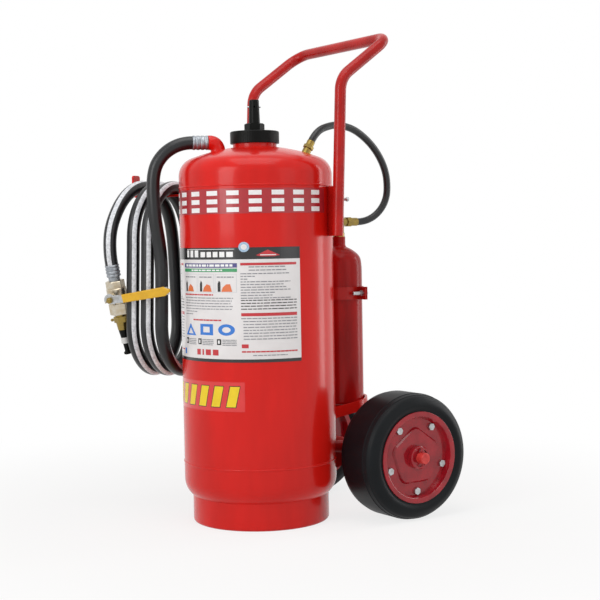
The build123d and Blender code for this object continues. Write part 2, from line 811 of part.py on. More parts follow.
with BuildPart() as lever_nut:
    with BuildSketch(stem_plane.offset(lever_top)):
        RegularPolygon(lever_nut_flats / 2, 6, major_radius=False)
        Circle(stem_r, mode=Mode.SUBTRACT)
    extrude(amount=6)
    chamfer(lever_nut.faces().sort_by(stem_axis)[-1].outer_wire().edges(), 0.8)

with BuildPart() as nozzle_adaptor:
    with BuildSketch(nozzle.offset(body_to + 5)):
        RegularPolygon(adaptor_flats / 2, 6, major_radius=False)
    extrude(amount=14)
    with BuildSketch(across(nozzle)):
        with BuildLine():
            Polyline((0, body_to - socket_deep + 2), (socket_r - 0.1, body_to - socket_deep + 2),
                     (socket_r - 0.1, body_to + 6), (14, body_to + 6), (14, body_to + 21), (12.5, adaptor_to),
                     (0, adaptor_to), close=True)
        make_face()
    revolve(axis=nozzle_axis)
    # bleed stud with its round knob, beside the hexagon
    stud_plane = Plane(origin=hose_end + flow * (body_to + 12), z_dir=lever_dir * -1)
    with BuildSketch(stud_plane):
        Circle(stud_r)
    extrude(amount=stud_len)
    with BuildSketch(stud_plane.offset(stud_len - 1)):
        Circle(stud_knob_r)
    extrude(amount=6)
    knob = nozzle_adaptor.faces().sort_by(Axis(stud_plane.origin, stud_plane.z_dir))
    fillet(knob[-1].edges(), 2.6)
    with BuildSketch(across(nozzle)):
        with BuildLine():
            Polyline((0, body_to - socket_deep), (adaptor_bore_r, body_to - socket_deep),
                     (adaptor_bore_r, adaptor_to - 8),
                     (7, adaptor_to - 8), (7, adaptor_to), (0, adaptor_to), close=True)
        make_face()
    revolve(axis=nozzle_axis, mode=Mode.SUBTRACT)

band_from, band_to, tip_to = adaptor_to + 19, adaptor_to + 33, adaptor_to + 60
with BuildPart() as nozzle_tip:
    with BuildSketch(across(nozzle)):
        with BuildLine():
            Polyline((6, adaptor_to), (11.5, adaptor_to), (11.5, adaptor_to + 4), (tip_r, band_from),
                     (tip_r, band_to), (tip_r - 2, band_to + 1), (5.6, tip_to - 9))
            TangentArc((5.6, tip_to - 9), (8.6, tip_to - 5), tangent=(0, 1))
            Polyline((8.6, tip_to - 5), (8.6, tip_to - 1), (7.6, tip_to), (3.2, tip_to), (6, adaptor_to))
        make_face()
    revolve(axis=nozzle_axis)

with BuildPart() as nozzle_band:
    with BuildSketch(nozzle.offset(band_from)):
        Circle(tip_r + band_t)
        Circle(tip_r, mode=Mode.SUBTRACT)
    extrude(amount=band_to - band_from)

# ================================================================ handle
limb_bend_y = limb_low_y + limb_lean * (limb_bend_z - limb_low_z)
handle_points = []
for side in (1, -1):
    ends = [
        Vector(side * handle_half, limb_low_y, limb_low_z),
        Vector(side * handle_half, limb_bend_y, limb_bend_z),
        Vector(side * handle_half, limb_bend_y + grip_back, limb_bend_z + grip_up),
    ]
    handle_points += ends if side == 1 else ends[::-1]

with BuildPart() as handle_frame:
    with BuildLine() as handle_line:
        FilletPolyline(*handle_points, radius=[limb_bend_r, corner_bend_r, corner_bend_r, limb_bend_r])
    with BuildSketch(at_start(handle_line.line)):
        Circle(tube_r)
        Circle(tube_r - tube_wall, mode=Mode.SUBTRACT)
    sweep(path=handle_line.line)

# A web plate at each side carries the tube off the vessel's wall.
with BuildPart() as handle_brackets:
    web_y = limb_low_y + limb_lean * bracket_h / 2
    with BuildSketch(Plane.XY.offset(limb_low_z)):
        with Locations((0, web_y)):
            Rectangle(2 * handle_half, bracket_t)
        Circle(shell_r, mode=Mode.SUBTRACT)
    extrude(amount=bracket_h)
    add(handle_frame.part, mode=Mode.SUBTRACT)
    beyond = handle_half - tube_r + tube_wall
    in_tube = handle_brackets.solids().filter_by(lambda piece: abs(piece.center().X) > beyond)
    add(in_tube, mode=Mode.SUBTRACT)

# ================================================================ gas bottle
with BuildPart() as gas_bottle:
    with BuildSketch(Plane.XZ.offset(-bottle_y)):
        with BuildLine():
            inner, thread_r = bottle_r - bottle_wall, gas_thread_r + 0.1
            Polyline((0, bottle_low_z + 10), (26, bottle_low_z + 2), (bottle_r - 14, bottle_low_z),
                     (bottle_r - 6, bottle_low_z + 1))
            Spline((bottle_r - 6, bottle_low_z + 1), (bottle_r, bottle_low_z + 9),
                   tangents=((1, 0.2), (0, 1)))
            Line((bottle_r, bottle_low_z + 9), (bottle_r, bottle_shoulder_z))
            Spline((bottle_r, bottle_shoulder_z), (bottle_neck_r, bottle_neck_z),
                   tangents=((0, 1), (-0.35, 1)))
            Polyline((bottle_neck_r, bottle_neck_z), (bottle_neck_r, bottle_top_z), (thread_r, bottle_top_z),
                     (thread_r, bottle_neck_z - 6))
            Spline((thread_r, bottle_neck_z - 6), (inner, bottle_shoulder_z), tangents=((0.5, -1), (0, -1)))
            Polyline((inner, bottle_shoulder_z), (inner, bottle_low_z + 14), (inner - 10, bottle_low_z + 8),
                     (26, bottle_low_z + 10), (0, bottle_low_z + 18), (0, bottle_low_z + 10))
        make_face()
    revolve(axis=Axis((0, bottle_y, 0), (0, 0, 1)))

# The cradle: a flat-bar hoop, tilted up to the back, over a seat bar with an upturned toe.
hoop_r = bottle_r + cradle_gap
hoop_plane = Plane(
    origin=(0, shell_r, bottle_low_z - cradle_h + 2),
    x_dir=(1, 0, 0),
    z_dir=(0, -sin(radians(cradle_tilt)), cos(radians(cradle_tilt))),
)
hoop_back = bottle_y - shell_r
with BuildPart() as gas_cradle:
    with BuildSketch(hoop_plane):
        with Locations((0, hoop_back)):
            Circle(hoop_r + cradle_t)
        with Locations((0, hoop_back / 2 - 20)):
            Rectangle(2 * (hoop_r + cradle_t), hoop_back + 40)
        with Locations((0, hoop_back)):
            Circle(hoop_r, mode=Mode.SUBTRACT)
        with Locations((0, hoop_back / 2 - 20)):
            Rectangle(2 * hoop_r, hoop_back + 40, mode=Mode.SUBTRACT)
    extrude(amount=cradle_h)
    with BuildSketch(Plane.YZ.offset(-seat_w / 2)):
        seat_low = bottle_low_z - 0.3 - seat_t
        toe_y = bottle_y + hoop_r - 1
        with BuildLine():
            Polyline((shell_r - 20, seat_low), (toe_y, seat_low), (toe_y, seat_low + 22),
                     (toe_y - seat_t, seat_low + 22), (toe_y - seat_t, seat_low + seat_t),
                     (shell_r - 20, seat_low + seat_t), close=True)
        make_face()
    extrude(amount=seat_w)
    with BuildSketch(Plane.XY.offset(bottle_low_z - 80)):
        Circle(shell_r)
    extrude(amount=160, mode=Mode.SUBTRACT)

# The strap: a front half welded to the vessel and a rear half bolted to its ears.
strap_in = bottle_r + strap_gap
strap_out = strap_in + strap_t
ear_to = strap_out + ear_len
strap_plane = Plane((0, bottle_y, strap_z - strap_h / 2))


def strap_half(front):
    """The half ring and its two ears on one side of the split, drawn about the bottle's axis."""
    side = -1 if front else 1
    ear_y = split_y + side * (ear_space + strap_t) / 2
    Circle(strap_out)
    with Locations((0, ear_y)):
        Rectangle(2 * ear_to, strap_t)
    Circle(strap_in, mode=Mode.SUBTRACT)
    with Locations((0, split_y + side * ear_space / 2 - side * strap_out)):
        Rectangle(2 * ear_to, 2 * strap_out, mode=Mode.SUBTRACT)


with BuildPart() as clamp_front:
    with BuildSketch(strap_plane):
        strap_half(True)
        with Locations((0, -strap_out - 4)):
            Rectangle(24, 10)
    extrude(amount=strap_h)
    with BuildSketch(Plane.XZ.offset(-bottle_y - split_y)):
        with Locations((strap_bolt_x, strap_z), (-strap_bolt_x, strap_z)):
            Circle(strap_bolt_r + 0.3)
    extrude(amount=2 * strap_t, both=True, mode=Mode.SUBTRACT)
    add(shell_cylinder.part, mode=Mode.SUBTRACT)

with BuildPart() as clamp_rear:
    with BuildSketch(strap_plane):
        strap_half(False)
    extrude(amount=strap_h)
    with BuildSketch(Plane.XZ.offset(-bottle_y - split_y)):
        with Locations((strap_bolt_x, strap_z), (-strap_bolt_x, strap_z)):
            Circle(strap_bolt_r + 0.3)
    extrude(amount=2 * strap_t, both=True, mode=Mode.SUBTRACT)

# Hexagon bolts: heads at the back, nuts and long thread ends at the front.
with BuildPart() as clamp_bolts:
    grip = ear_space / 2 + strap_t
    split_plane = Plane(origin=(0, bottle_y + split_y, strap_z), x_dir=(1, 0, 0), z_dir=(0, 1, 0))
    bolt_spots = [(strap_bolt_x, 0), (-strap_bolt_x, 0)]
    for start, length in ((grip, 5.5), (-grip - 6.5, 6.5)):
        with BuildSketch(split_plane.offset(start)):
            with Locations(*bolt_spots):
                RegularPolygon(1.6 * strap_bolt_r, 6, major_radius=False)
        extrude(amount=length)
    with BuildSketch(split_plane.offset(grip)):
        with Locations(*bolt_spots):
            Circle(strap_bolt_r)
    extrude(amount=-strap_bolt_len)

# ================================================================ gas valve, hose and inlet
bottle_axis = Axis((0, bottle_y, 0), (0, 0, 1))
outlet_face_y = bottle_y + gas_valve_r + 9
with BuildPart() as gas_valve_body:
    with BuildSketch(Plane.XZ.offset(-bottle_y)):
        with BuildLine():
            Polyline((0, bottle_top_z - 18), (gas_thread_r, bottle_top_z - 18), (gas_thread_r, bottle_top_z),
                     (14, bottle_top_z), (14, bottle_top_z + 8), (gas_valve_r, bottle_top_z + 10),
                     (gas_valve_r, gas_out_z + 14), (11, gas_out_z + 18), (11, gas_out_z + 30),
                     (0, gas_out_z + 30), close=True)
        make_face()
    revolve(axis=bottle_axis)
    with BuildSketch(Plane(origin=(0, bottle_y, gas_out_z), z_dir=(0, 1, 0))):
        Circle(9)
    extrude(amount=outlet_face_y - bottle_y)
    with BuildSketch(Plane((0, bottle_y, gas_out_z + 8))):
        Circle(5.5)
    extrude(amount=40, mode=Mode.SUBTRACT)
    with BuildSketch(Plane(origin=(0, bottle_y, gas_out_z), z_dir=(0, 1, 0))):
        Circle(3.5)
    extrude(amount=outlet_face_y - bottle_y, mode=Mode.SUBTRACT)

with BuildPart() as gas_valve_spindle:
    with BuildSketch(Plane((0, bottle_y, gas_out_z + 9))):
        Circle(5.2)
    extrude(amount=tbar_z - gas_out_z - 3)
    with BuildSketch(Plane((0, bottle_y, gas_out_z + 30.5))):
        Circle(8.5)
    extrude(amount=tbar_z - gas_out_z - 36)
    with BuildSketch(Plane((0, bottle_y, tbar_z - 8))):
        Circle(8)
    extrude(amount=16)
    with BuildSketch(Plane(origin=(-tbar_half, bottle_y, tbar_z), z_dir=(1, 0, 0))):
        Circle(tbar_r)
    extrude(amount=2 * tbar_half)
    with Locations((tbar_half, bottle_y, tbar_z), (-tbar_half, bottle_y, tbar_z)):
        Sphere(tbar_ball_r)

gas_start_y = outlet_face_y + gas_nut_len + gas_ferrule_len
gas_out_plane = Plane(origin=(0, outlet_face_y, gas_out_z), x_dir=(1, 0, 0), z_dir=(0, 1, 0))


# A hexagon union nut with the hose's turned ferrule behind it.
with BuildPart() as gas_hose_fitting_low:
    with BuildSketch(gas_out_plane):
        RegularPolygon(gas_hose_r + 2.5, 6, major_radius=False)
    extrude(amount=gas_nut_len)
    with BuildSketch(gas_out_plane.offset(gas_nut_len)):
        Circle(gas_hose_r + 1.3)
    extrude(amount=gas_ferrule_len)
    chamfer(gas_hose_fitting_low.faces().sort_by(Axis.Y)[-1].edges(), 1)

gas_in_dir = Vector(0, sin(radians(gas_lean)), cos(radians(gas_lean)))
gas_boss_at = Vector(gas_boss_x, gas_boss_y, gas_boss_z)
gas_in_plane = Plane(origin=gas_boss_at, x_dir=(1, 0, 0), z_dir=gas_in_dir)

with BuildPart() as gas_inlet_boss:
    with BuildSketch(gas_in_plane.offset(-boss_depth)):
        Circle(gas_hose_r - 1)
    extrude(amount=boss_depth + gas_boss_len)
    with BuildSketch(gas_in_plane.offset(-6)):
        Circle(gas_hose_r + 1.5)
    extrude(amount=3 + gas_boss_len)
    with BuildSketch(gas_in_plane.offset(-boss_depth)):
        Circle(gas_hose_r - 3)
    extrude(amount=boss_depth + gas_boss_len, mode=Mode.SUBTRACT)
    add(top_dome.part, mode=Mode.SUBTRACT)

fitting_high_plane = gas_in_plane.offset(gas_boss_len)
with BuildPart() as gas_hose_fitting_high:
    with BuildSketch(fitting_high_plane):
        RegularPolygon(10.5, 6, major_radius=False)
    extrude(amount=8)
    with BuildSketch(fitting_high_plane.offset(8)):
        Circle(gas_hose_r + 0.8)
    extrude(amount=12)
    chamfer(gas_hose_fitting_high.faces().sort_by(Axis(gas_boss_at, gas_in_dir))[-1].edges(), 1)

gas_hose_end = gas_boss_at + gas_in_dir * (gas_boss_len + 20)
gas_points = [
    Vector(0, gas_start_y, gas_out_z),
    Vector(0, 309, gas_out_z),
    Vector(7, 339, 695),
    Vector(14, 360, 721),
    Vector(19, 368, 754),
    Vector(26, 357, 808),
    Vector(32, 318, 860),
    Vector(38, 262, 897),
    Vector(44, 215, 907),
    Vector(51, 180, 906),
    gas_hose_end + gas_in_dir * 28.5,
    gas_hose_end,
]
with BuildPart() as gas_hose:
    with BuildLine() as gas_line:
        FilletPolyline(*gas_points, radius=bend_radii(gas_points))
    with BuildSketch(at_start(gas_line.line)):
        Circle(gas_hose_r)
    sweep(path=gas_line.line)
report_tube("gas hose", gas_hose, gas_line.wire(), gas_hose_r, bend_radii(gas_points))

# The gas tube runs down inside the vessel, so that the gas stirs the powder from below.
tube_top = gas_boss_at - gas_in_dir * boss_depth
tube_knee = tube_top - gas_in_dir * 26
with BuildPart() as gas_tube:
    with BuildLine() as tube_line:
        tube_end = Vector(tube_knee.X, tube_knee.Y, gas_tube_end_z)
        FilletPolyline(tube_top, tube_knee, tube_end, radius=gas_tube_bend_r)
    with BuildSketch(at_start(tube_line.line)):
        Circle(gas_hose_r - 1)
        Circle(gas_hose_r - 3, mode=Mode.SUBTRACT)
    sweep(path=tube_line.line)

# ================================================================ axle and its brackets
axle_line = Axis((0, wheel_y, wheel_z), (1, 0, 0))
pin_hole_x = hub_out_x + wheel_x + 6
with BuildPart() as axle:
    with BuildSketch(Plane(origin=(-axle_half, wheel_y, wheel_z), z_dir=(1, 0, 0))):
        Circle(axle_r)
    extrude(amount=2 * axle_half)
    chamfer(axle.edges().filter_by(GeomType.CIRCLE), 1.5)
    for side in (1, -1):
        with BuildSketch(Plane(origin=(side * pin_hole_x, wheel_y, wheel_z))):
            Circle(2.3)
        extrude(amount=2 * axle_r, both=True, mode=Mode.SUBTRACT)

with BuildPart() as axle_brackets:
    shell_y = sqrt(shell_r**2 - arm_x**2)
    arm_from = Vector(arm_x, shell_y - 12, arm_shell_z + 2)
    arm_to = Vector(arm_x, wheel_y - 6, wheel_z + 1)
    with BuildSketch(Plane(origin=arm_from, z_dir=arm_to - arm_from)):
        Circle(arm_r)
    extrude(amount=(arm_to - arm_from).length)
    with BuildSketch(Plane(origin=(arm_x - 20, wheel_y, wheel_z), z_dir=(1, 0, 0))):
        Circle(axle_r + 6)
    extrude(amount=wheel_x - hub_in_x - hub_play - arm_x + 20)
    with BuildSketch(Plane.YZ.offset(arm_x - gusset_t / 2)):
        with BuildLine():
            Polyline((shell_y - 12, arm_shell_z - 52), (wheel_y - 40, wheel_z - 8),
                     (wheel_y - 40, wheel_z + 4), (shell_y - 12, arm_shell_z), close=True)
        make_face()
    extrude(amount=gusset_t)
    mirror(about=Plane.YZ)
    with BuildSketch(Plane(origin=(-axle_half, wheel_y, wheel_z), z_dir=(1, 0, 0))):
        Circle(axle_r)
    extrude(amount=2 * axle_half, mode=Mode.SUBTRACT)
    with BuildSketch(Plane.XY):
        Circle(shell_r)
    extrude(amount=2 * arm_shell_z, mode=Mode.SUBTRACT)
    add(shell_cylinder.part, mode=Mode.SUBTRACT)

# ================================================================ wheels
wheel_section = Plane(origin=(wheel_x, wheel_y, wheel_z), x_dir=(1, 0, 0), z_dir=(0, -1, 0))
seat_half = rim_lip_x - rim_t

with BuildPart() as tyre_right:
    with BuildSketch(wheel_section):
        with BuildLine():
            half = tyre_w / 2
            Polyline((-seat_half, rim_lip_r + 2), (-seat_half, tyre_bore_r), (seat_half, tyre_bore_r),
                     (seat_half, rim_lip_r + 2))
            Spline((seat_half, rim_lip_r + 2), (half, rim_lip_r + 14), (half - 12, tyre_r - 7),
                   (half - 34, tyre_r), tangents=((1, 0.6), (-1, 0.06)))
            Line((half - 34, tyre_r), (34 - half, tyre_r))
            Spline((34 - half, tyre_r), (12 - half, tyre_r - 7), (-half, rim_lip_r + 14),
                   (-seat_half, rim_lip_r + 2), tangents=((-1, -0.06), (1, -0.6)))
        make_face()
    revolve(axis=axle_line)


def rim_section(sign, lip_x, disc_x, bore_r):
    """A pressed rim half: disc, dished wall, bead seat and rolled lip, for one side of the wheel."""
    seat_r = tyre_bore_r - 0.3
    with BuildLine() as outline:
        Polyline(
            (0, seat_r),
            (sign * (lip_x - rim_t), seat_r),
            (sign * (lip_x - rim_t), rim_lip_r),
            (sign * lip_x, rim_lip_r),
            (sign * lip_x, seat_r - rim_t),
            (sign * (disc_x + rim_t), seat_r - 8),
            (sign * (disc_x + rim_t), bore_r),
            (sign * disc_x, bore_r),
            (sign * disc_x, seat_r - 8 - rim_t),
            (sign * (disc_x - 4), seat_r - rim_t),
            (0, seat_r - rim_t),
            close=True,
        )
    make_face(outline.edges())


disc_face_x = wheel_x + rim_disc_x + rim_t
wheel_face = Plane(origin=(disc_face_x, wheel_y, wheel_z), x_dir=(0, 1, 0), z_dir=(1, 0, 0))
with BuildPart() as rim_outer_right:
    with BuildSketch(wheel_section):
        rim_section(1, rim_lip_x, rim_disc_x, hub_r + 0.2)
    revolve(axis=axle_line)
    circles = rim_outer_right.edges().filter_by(GeomType.CIRCLE)
    lip = circles.filter_by(lambda e: abs(e.radius - rim_lip_r) < 0.1)
    fillet(lip.sort_by(Axis.X)[-1], rim_t * 0.6)
    inner_lip = rim_outer_right.edges().filter_by(GeomType.CIRCLE).filter_by(
        lambda e: abs(e.radius - (tyre_bore_r - 0.3 - rim_t)) < 0.1)
    fillet(inner_lip.sort_by(Axis.X)[-1], 4)
    # pressed centre, raised in a rounded pentagon
    with BuildSketch(wheel_face.offset(-rim_t)):
        RegularPolygon(emboss_r, 5, rotation=bolt_turn + 36)
        fillet(vertices(), emboss_corner_r)
    extrude(amount=rim_t + emboss_h, taper=40)
    with BuildSketch(wheel_face.offset(-40)):
        Circle(hub_r + 0.2)
    extrude(amount=80, mode=Mode.SUBTRACT)
    with BuildSketch(wheel_face.offset(-40)):
        with PolarLocations(bolt_ring_r, 5, start_angle=bolt_turn):
            Circle(bolt_r + 0.3)
    extrude(amount=80, mode=Mode.SUBTRACT)

with BuildPart() as rim_inner_right:
    with BuildSketch(wheel_section):
        rim_section(-1, rim_lip_x, rim_disc_x, hub_r + 0.2)
    revolve(axis=axle_line)

with BuildPart() as hub_right:
    with BuildSketch(wheel_section):
        with BuildLine():
            Polyline(
                (-hub_in_x, axle_r + axle_fit),
                (-hub_in_x, hub_r),
                (rim_disc_x - 6, hub_r),
                (rim_disc_x - 6, hub_flange_r),
                (rim_disc_x - 0.3, hub_flange_r),
                (rim_disc_x - 0.3, hub_r),
                (hub_out_x - 2, hub_r),
                (hub_out_x, hub_r - 2),
                (hub_out_x, hub_pocket_r),
                (hub_out_x - 5, hub_pocket_r),
                (hub_out_x - 5, axle_r + axle_fit),
                close=True,
            )
        make_face()
    revolve(axis=axle_line)
    with BuildSketch(wheel_face.offset(-40)):
        with PolarLocations(bolt_ring_r, 5, start_angle=bolt_turn):
            Circle(bolt_r + 0.3)
    extrude(amount=80, mode=Mode.SUBTRACT)

with BuildPart() as rim_bolts_right:
    nut_face = -rim_t - 6
    for start, height in ((0, bolt_head_h), (nut_face - nut_h, nut_h)):
        with BuildSketch(wheel_face.offset(start)):
            with PolarLocations(bolt_ring_r, 5, start_angle=bolt_turn):
                RegularPolygon(bolt_flats / 2, 6, major_radius=False)
        extrude(amount=height)
    with BuildSketch(wheel_face.offset(nut_face - nut_h - 3)):
        with PolarLocations(bolt_ring_r, 5, start_angle=bolt_turn):
            Circle(bolt_r)
    extrude(amount=nut_h + 4 - nut_face)

with BuildPart() as axle_washers:
    with BuildSketch(Plane(origin=(wheel_x + hub_out_x - 4.7, wheel_y, wheel_z), z_dir=(1, 0, 0))):
        Circle(hub_pocket_r - 1)
        Circle(axle_r + 0.3, mode=Mode.SUBTRACT)
    extrude(amount=2.5)
    mirror(about=Plane.YZ)

with BuildPart() as split_pins:
    with BuildSketch(Plane(origin=(pin_hole_x, wheel_y, wheel_z - axle_r - 5), z_dir=(0, 0, 1))):
        Circle(2)
    extrude(amount=2 * axle_r + 8)
    with Locations((pin_hole_x, wheel_y, wheel_z + axle_r + 4.5)):
        Torus(3.2, 1.6, rotation=(0, 90, 0))
    mirror(about=Plane.YZ)

with BuildPart() as tyre_left:
    mirror(tyre_right.part, about=Plane.YZ)
with BuildPart() as rim_outer_left:
    mirror(rim_outer_right.part, about=Plane.YZ)
with BuildPart() as rim_inner_left:
    mirror(rim_inner_right.part, about=Plane.YZ)
with BuildPart() as hub_left:
    mirror(hub_right.part, about=Plane.YZ)
with BuildPart() as rim_bolts_left:
    mirror(rim_bolts_right.part, about=Plane.YZ)

# ================================================================ files
nodes = {
    "top_dome": top_dome,
    "bottom_dome": bottom_dome,
    "shell_cylinder": shell_cylinder,
    "foot_ring": foot_ring,
    "neck_ring": neck_ring,
    "cap_gasket": cap_gasket,
    "filler_cap": filler_cap,
    "relief_nut": relief_nut,
    "relief_barrel": relief_barrel,
    "relief_poppet": relief_poppet,
    "relief_pin": relief_pin,
    "relief_spring": relief_spring,
    "outlet_elbow": outlet_elbow,
    "siphon_tube": siphon_tube,
    "outlet_ferrule": outlet_ferrule,
    "discharge_hose_lead": discharge_hose_lead,
    "discharge_hose_coil": discharge_hose_coil,
    "discharge_hose_tail": discharge_hose_tail,
    "hose_hook": hose_hook,
    "nozzle_ferrule": nozzle_ferrule,
    "nozzle_coupling": nozzle_coupling,
    "valve_body": valve_body,
    "valve_ball": valve_ball,
    "valve_seats": valve_seats,
    "valve_stem": valve_stem,
    "gland_nut": gland_nut,
    "valve_lever": valve_lever,
    "lever_grip": lever_grip,
    "lever_nut": lever_nut,
    "nozzle_adaptor": nozzle_adaptor,
    "nozzle_tip": nozzle_tip,
    "nozzle_band": nozzle_band,
    "handle_frame": handle_frame,
    "handle_brackets": handle_brackets,
    "gas_bottle": gas_bottle,
    "gas_cradle": gas_cradle,
    "clamp_front": clamp_front,
    "clamp_rear": clamp_rear,
    "clamp_bolts": clamp_bolts,
    "gas_valve_body": gas_valve_body,
    "gas_valve_spindle": gas_valve_spindle,
    "gas_hose_fitting_low": gas_hose_fitting_low,
    "gas_hose": gas_hose,
    "gas_hose_fitting_high": gas_hose_fitting_high,
    "gas_inlet_boss": gas_inlet_boss,
    "gas_tube": gas_tube,
    "axle": axle,
    "axle_brackets": axle_brackets,
    "axle_washers": axle_washers,
    "split_pins": split_pins,
    "tyre_right": tyre_right,
    "rim_outer_right": rim_outer_right,
    "rim_inner_right": rim_inner_right,
    "hub_right": hub_right,
    "rim_bolts_right": rim_bolts_right,
    "tyre_left": tyre_left,
    "rim_outer_left": rim_outer_left,
    "rim_inner_left": rim_inner_left,
    "hub_left": hub_left,
    "rim_bolts_left": rim_bolts_left,
}
for node, piece in nodes.items():
    piece.part.label = node
    export_step(piece.part, f"parts/{node}.step")
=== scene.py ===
import json
from math import radians

import bmesh
import bpy
import numpy as np
from mathutils import Matrix, Vector


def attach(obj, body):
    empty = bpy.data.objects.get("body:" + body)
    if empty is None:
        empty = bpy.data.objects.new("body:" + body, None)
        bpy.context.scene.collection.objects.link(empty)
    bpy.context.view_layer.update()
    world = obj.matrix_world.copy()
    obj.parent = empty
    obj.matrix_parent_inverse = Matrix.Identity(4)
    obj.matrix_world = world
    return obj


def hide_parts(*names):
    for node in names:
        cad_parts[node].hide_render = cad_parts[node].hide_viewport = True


# A wheeled dry-powder fire extinguisher. The frame is in metres with +Z up, the label faces -Y
# and the axle runs along X. Sections follow the order in which the real one is put together.
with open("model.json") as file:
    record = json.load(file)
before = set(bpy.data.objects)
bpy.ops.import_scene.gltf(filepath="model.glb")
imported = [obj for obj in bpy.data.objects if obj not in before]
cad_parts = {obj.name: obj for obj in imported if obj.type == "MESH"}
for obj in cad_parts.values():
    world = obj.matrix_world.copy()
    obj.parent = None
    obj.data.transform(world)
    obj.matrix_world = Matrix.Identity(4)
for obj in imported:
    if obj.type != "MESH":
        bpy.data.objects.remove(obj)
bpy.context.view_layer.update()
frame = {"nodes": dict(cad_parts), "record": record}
scene = bpy.context.scene

# ---------------------------------------------------------------- camera
# A lens of about 80 mm, three metres off, at just over half the object's height and 58 degrees
# round to the right of the label's front. It looks a little down, and a little right of the axis.
view_turn, view_away, view_height = radians(57.66), 3.0489, 0.649
right_turn, down_tilt, lean = radians(1.83), radians(2.76), radians(-0.98)
ahead = np.array([-np.sin(view_turn), np.cos(view_turn), 0])
to_right = np.array([np.cos(view_turn), np.sin(view_turn), 0])
upward = np.array([0, 0, 1.0])
looking = ahead * np.cos(right_turn) + to_right * np.sin(right_turn)
to_right = to_right * np.cos(right_turn) - ahead * np.sin(right_turn)
top = upward * np.cos(down_tilt) + looking * np.sin(down_tilt)
looking = looking * np.cos(down_tilt) - upward * np.sin(down_tilt)
side, top = to_right * np.cos(lean) + top * np.sin(lean), top * np.cos(lean) - to_right * np.sin(lean)
camera = bpy.data.objects.new("camera", bpy.data.cameras.new("camera"))
camera.data.sensor_width, camera.data.lens = 36, 79.618
stand = Matrix.Translation((view_away * np.sin(view_turn), -view_away * np.cos(view_turn), view_height))
camera.matrix_world = stand @ Matrix(np.array([side, top, -looking]).T.tolist()).to_4x4()
scene.collection.objects.link(camera)
scene.camera = camera


# ---------------------------------------------------------------- discharge hose
# Three and three quarter metres of 30 mm rubber hose with a wrapped finish and a white stripe.
# It bends down from the outlet, hangs in long turns on the hook and goes over it once more.
def around(angle, radius, z):
    """A point about the vessel's axis: 0 faces the front, positive turns to the right."""
    return np.array([radius * np.sin(radians(angle)), -radius * np.cos(radians(angle)), z])


def by_hook(out, across, z):
    """A point by the hook: out from the vessel's axis, and to one side of the hook."""
    return around(-58, out, 0) + around(32, across, z)


def line_of(points):
    """The smooth line of a NURBS spline that has these control points, evenly divided."""
    curve = bpy.data.curves.new("line", "CURVE")
    curve.dimensions, curve.resolution_u = "3D", 24
    spline = curve.splines.new("NURBS")
    spline.points.add(len(points) - 1)
    spline.points.foreach_set("co", np.column_stack([points, np.ones(len(points))]).ravel())
    spline.order_u, spline.use_endpoint_u = 3, True
    holder = bpy.data.objects.new("line", curve)
    read = bpy.data.meshes.new_from_object(holder)
    found = np.zeros(len(read.vertices) * 3)
    read.vertices.foreach_get("co", found)
    found = found.reshape(-1, 3)
    bpy.data.objects.remove(holder)
    return found


def evenly(line, step):
    """The same line as points that lie one step apart along it."""
    along = np.append(0, np.cumsum(np.linalg.norm(np.diff(line, axis=0), axis=1)))
    at = np.linspace(0, along[-1], max(2, round(along[-1] / step)) + 1)
    return np.column_stack([np.interp(at, along, line[:, k]) for k in range(3)]), at


def surface(name, grid, loops=(False, False), uv=None, angle=35):
    """A mesh over a grid of points in metres: each point is joined to the next one both ways, and
    a way that loops joins its last row to its first. Poles and seams are merged."""
    rows, columns = grid.shape[:2]
    i, j = np.meshgrid(np.arange(rows - (not loops[0])), np.arange(columns - (not loops[1])), indexing="ij")
    i, j = i.ravel(), j.ravel()
    ring = [(i, j), (i + 1, j), (i + 1, j + 1), (i, j + 1)]
    faces = np.stack([a % rows * columns + b % columns for a, b in ring], axis=1)
    mesh = bpy.data.meshes.new(name)
    mesh.from_pydata(grid.reshape(-1, 3), [], faces.tolist())
    if uv is not None:
        spots = np.stack([uv[0][a] for a, b in ring], axis=1)
        across = np.stack([uv[1][b] for a, b in ring], axis=1)
        mesh.uv_layers.new(name="lie").data.foreach_set("uv", np.stack([across, spots], axis=2).ravel())
    made = bpy.data.objects.new(name, mesh)
    scene.collection.objects.link(made)
    return settle(made, angle)


def settle(made, angle=35):
    """Merge the doubles, turn the faces outwards, and shade smooth up to an edge of this angle."""
    work = bmesh.new()
    work.from_mesh(made.data)
    bmesh.ops.remove_doubles(work, verts=work.verts, dist=2e-6)
    bmesh.ops.recalc_face_normals(work, faces=work.faces)
    work.to_mesh(made.data)
    work.free()
    made.data.shade_smooth()
    made.data.set_sharp_from_angle(angle=radians(angle))
    return made


def tube(name, line, radius, sides, facing):
    """A round hose with closed ends: each ring is centre + radius (cos a side + sin a across), where
    the side lies towards the facing direction, given once or for each point of the line."""
    ahead = np.gradient(line, axis=0)
    ahead /= np.linalg.norm(ahead, axis=1)[:, None]
    sideways = np.broadcast_to(facing, line.shape)
    sideways = sideways - ahead * np.sum(sideways * ahead, axis=1)[:, None]
    sideways /= np.linalg.norm(sideways, axis=1)[:, None]
    across = np.cross(ahead, sideways)
    a = np.linspace(0, 2 * np.pi, sides + 1)[:-1] + np.pi / sides
    spokes = np.cos(a)[:, None] * sideways[:, None] + np.sin(a)[:, None] * across[:, None]
    rings = line[:, None] + radius * spokes
    rings = np.concatenate([np.tile(line[0], (1, sides, 1)), rings, np.tile(line[-1], (1, sides, 1))])
    along = np.append(0, np.cumsum(np.linalg.norm(np.diff(line, axis=0), axis=1)))
    along = np.concatenate([along[:1], along, along[-1:]])
    around_it = np.arange(sides + 1) * 2 * np.pi * radius / sides
    return surface(name, rings, (False, True), uv=(along, around_it))


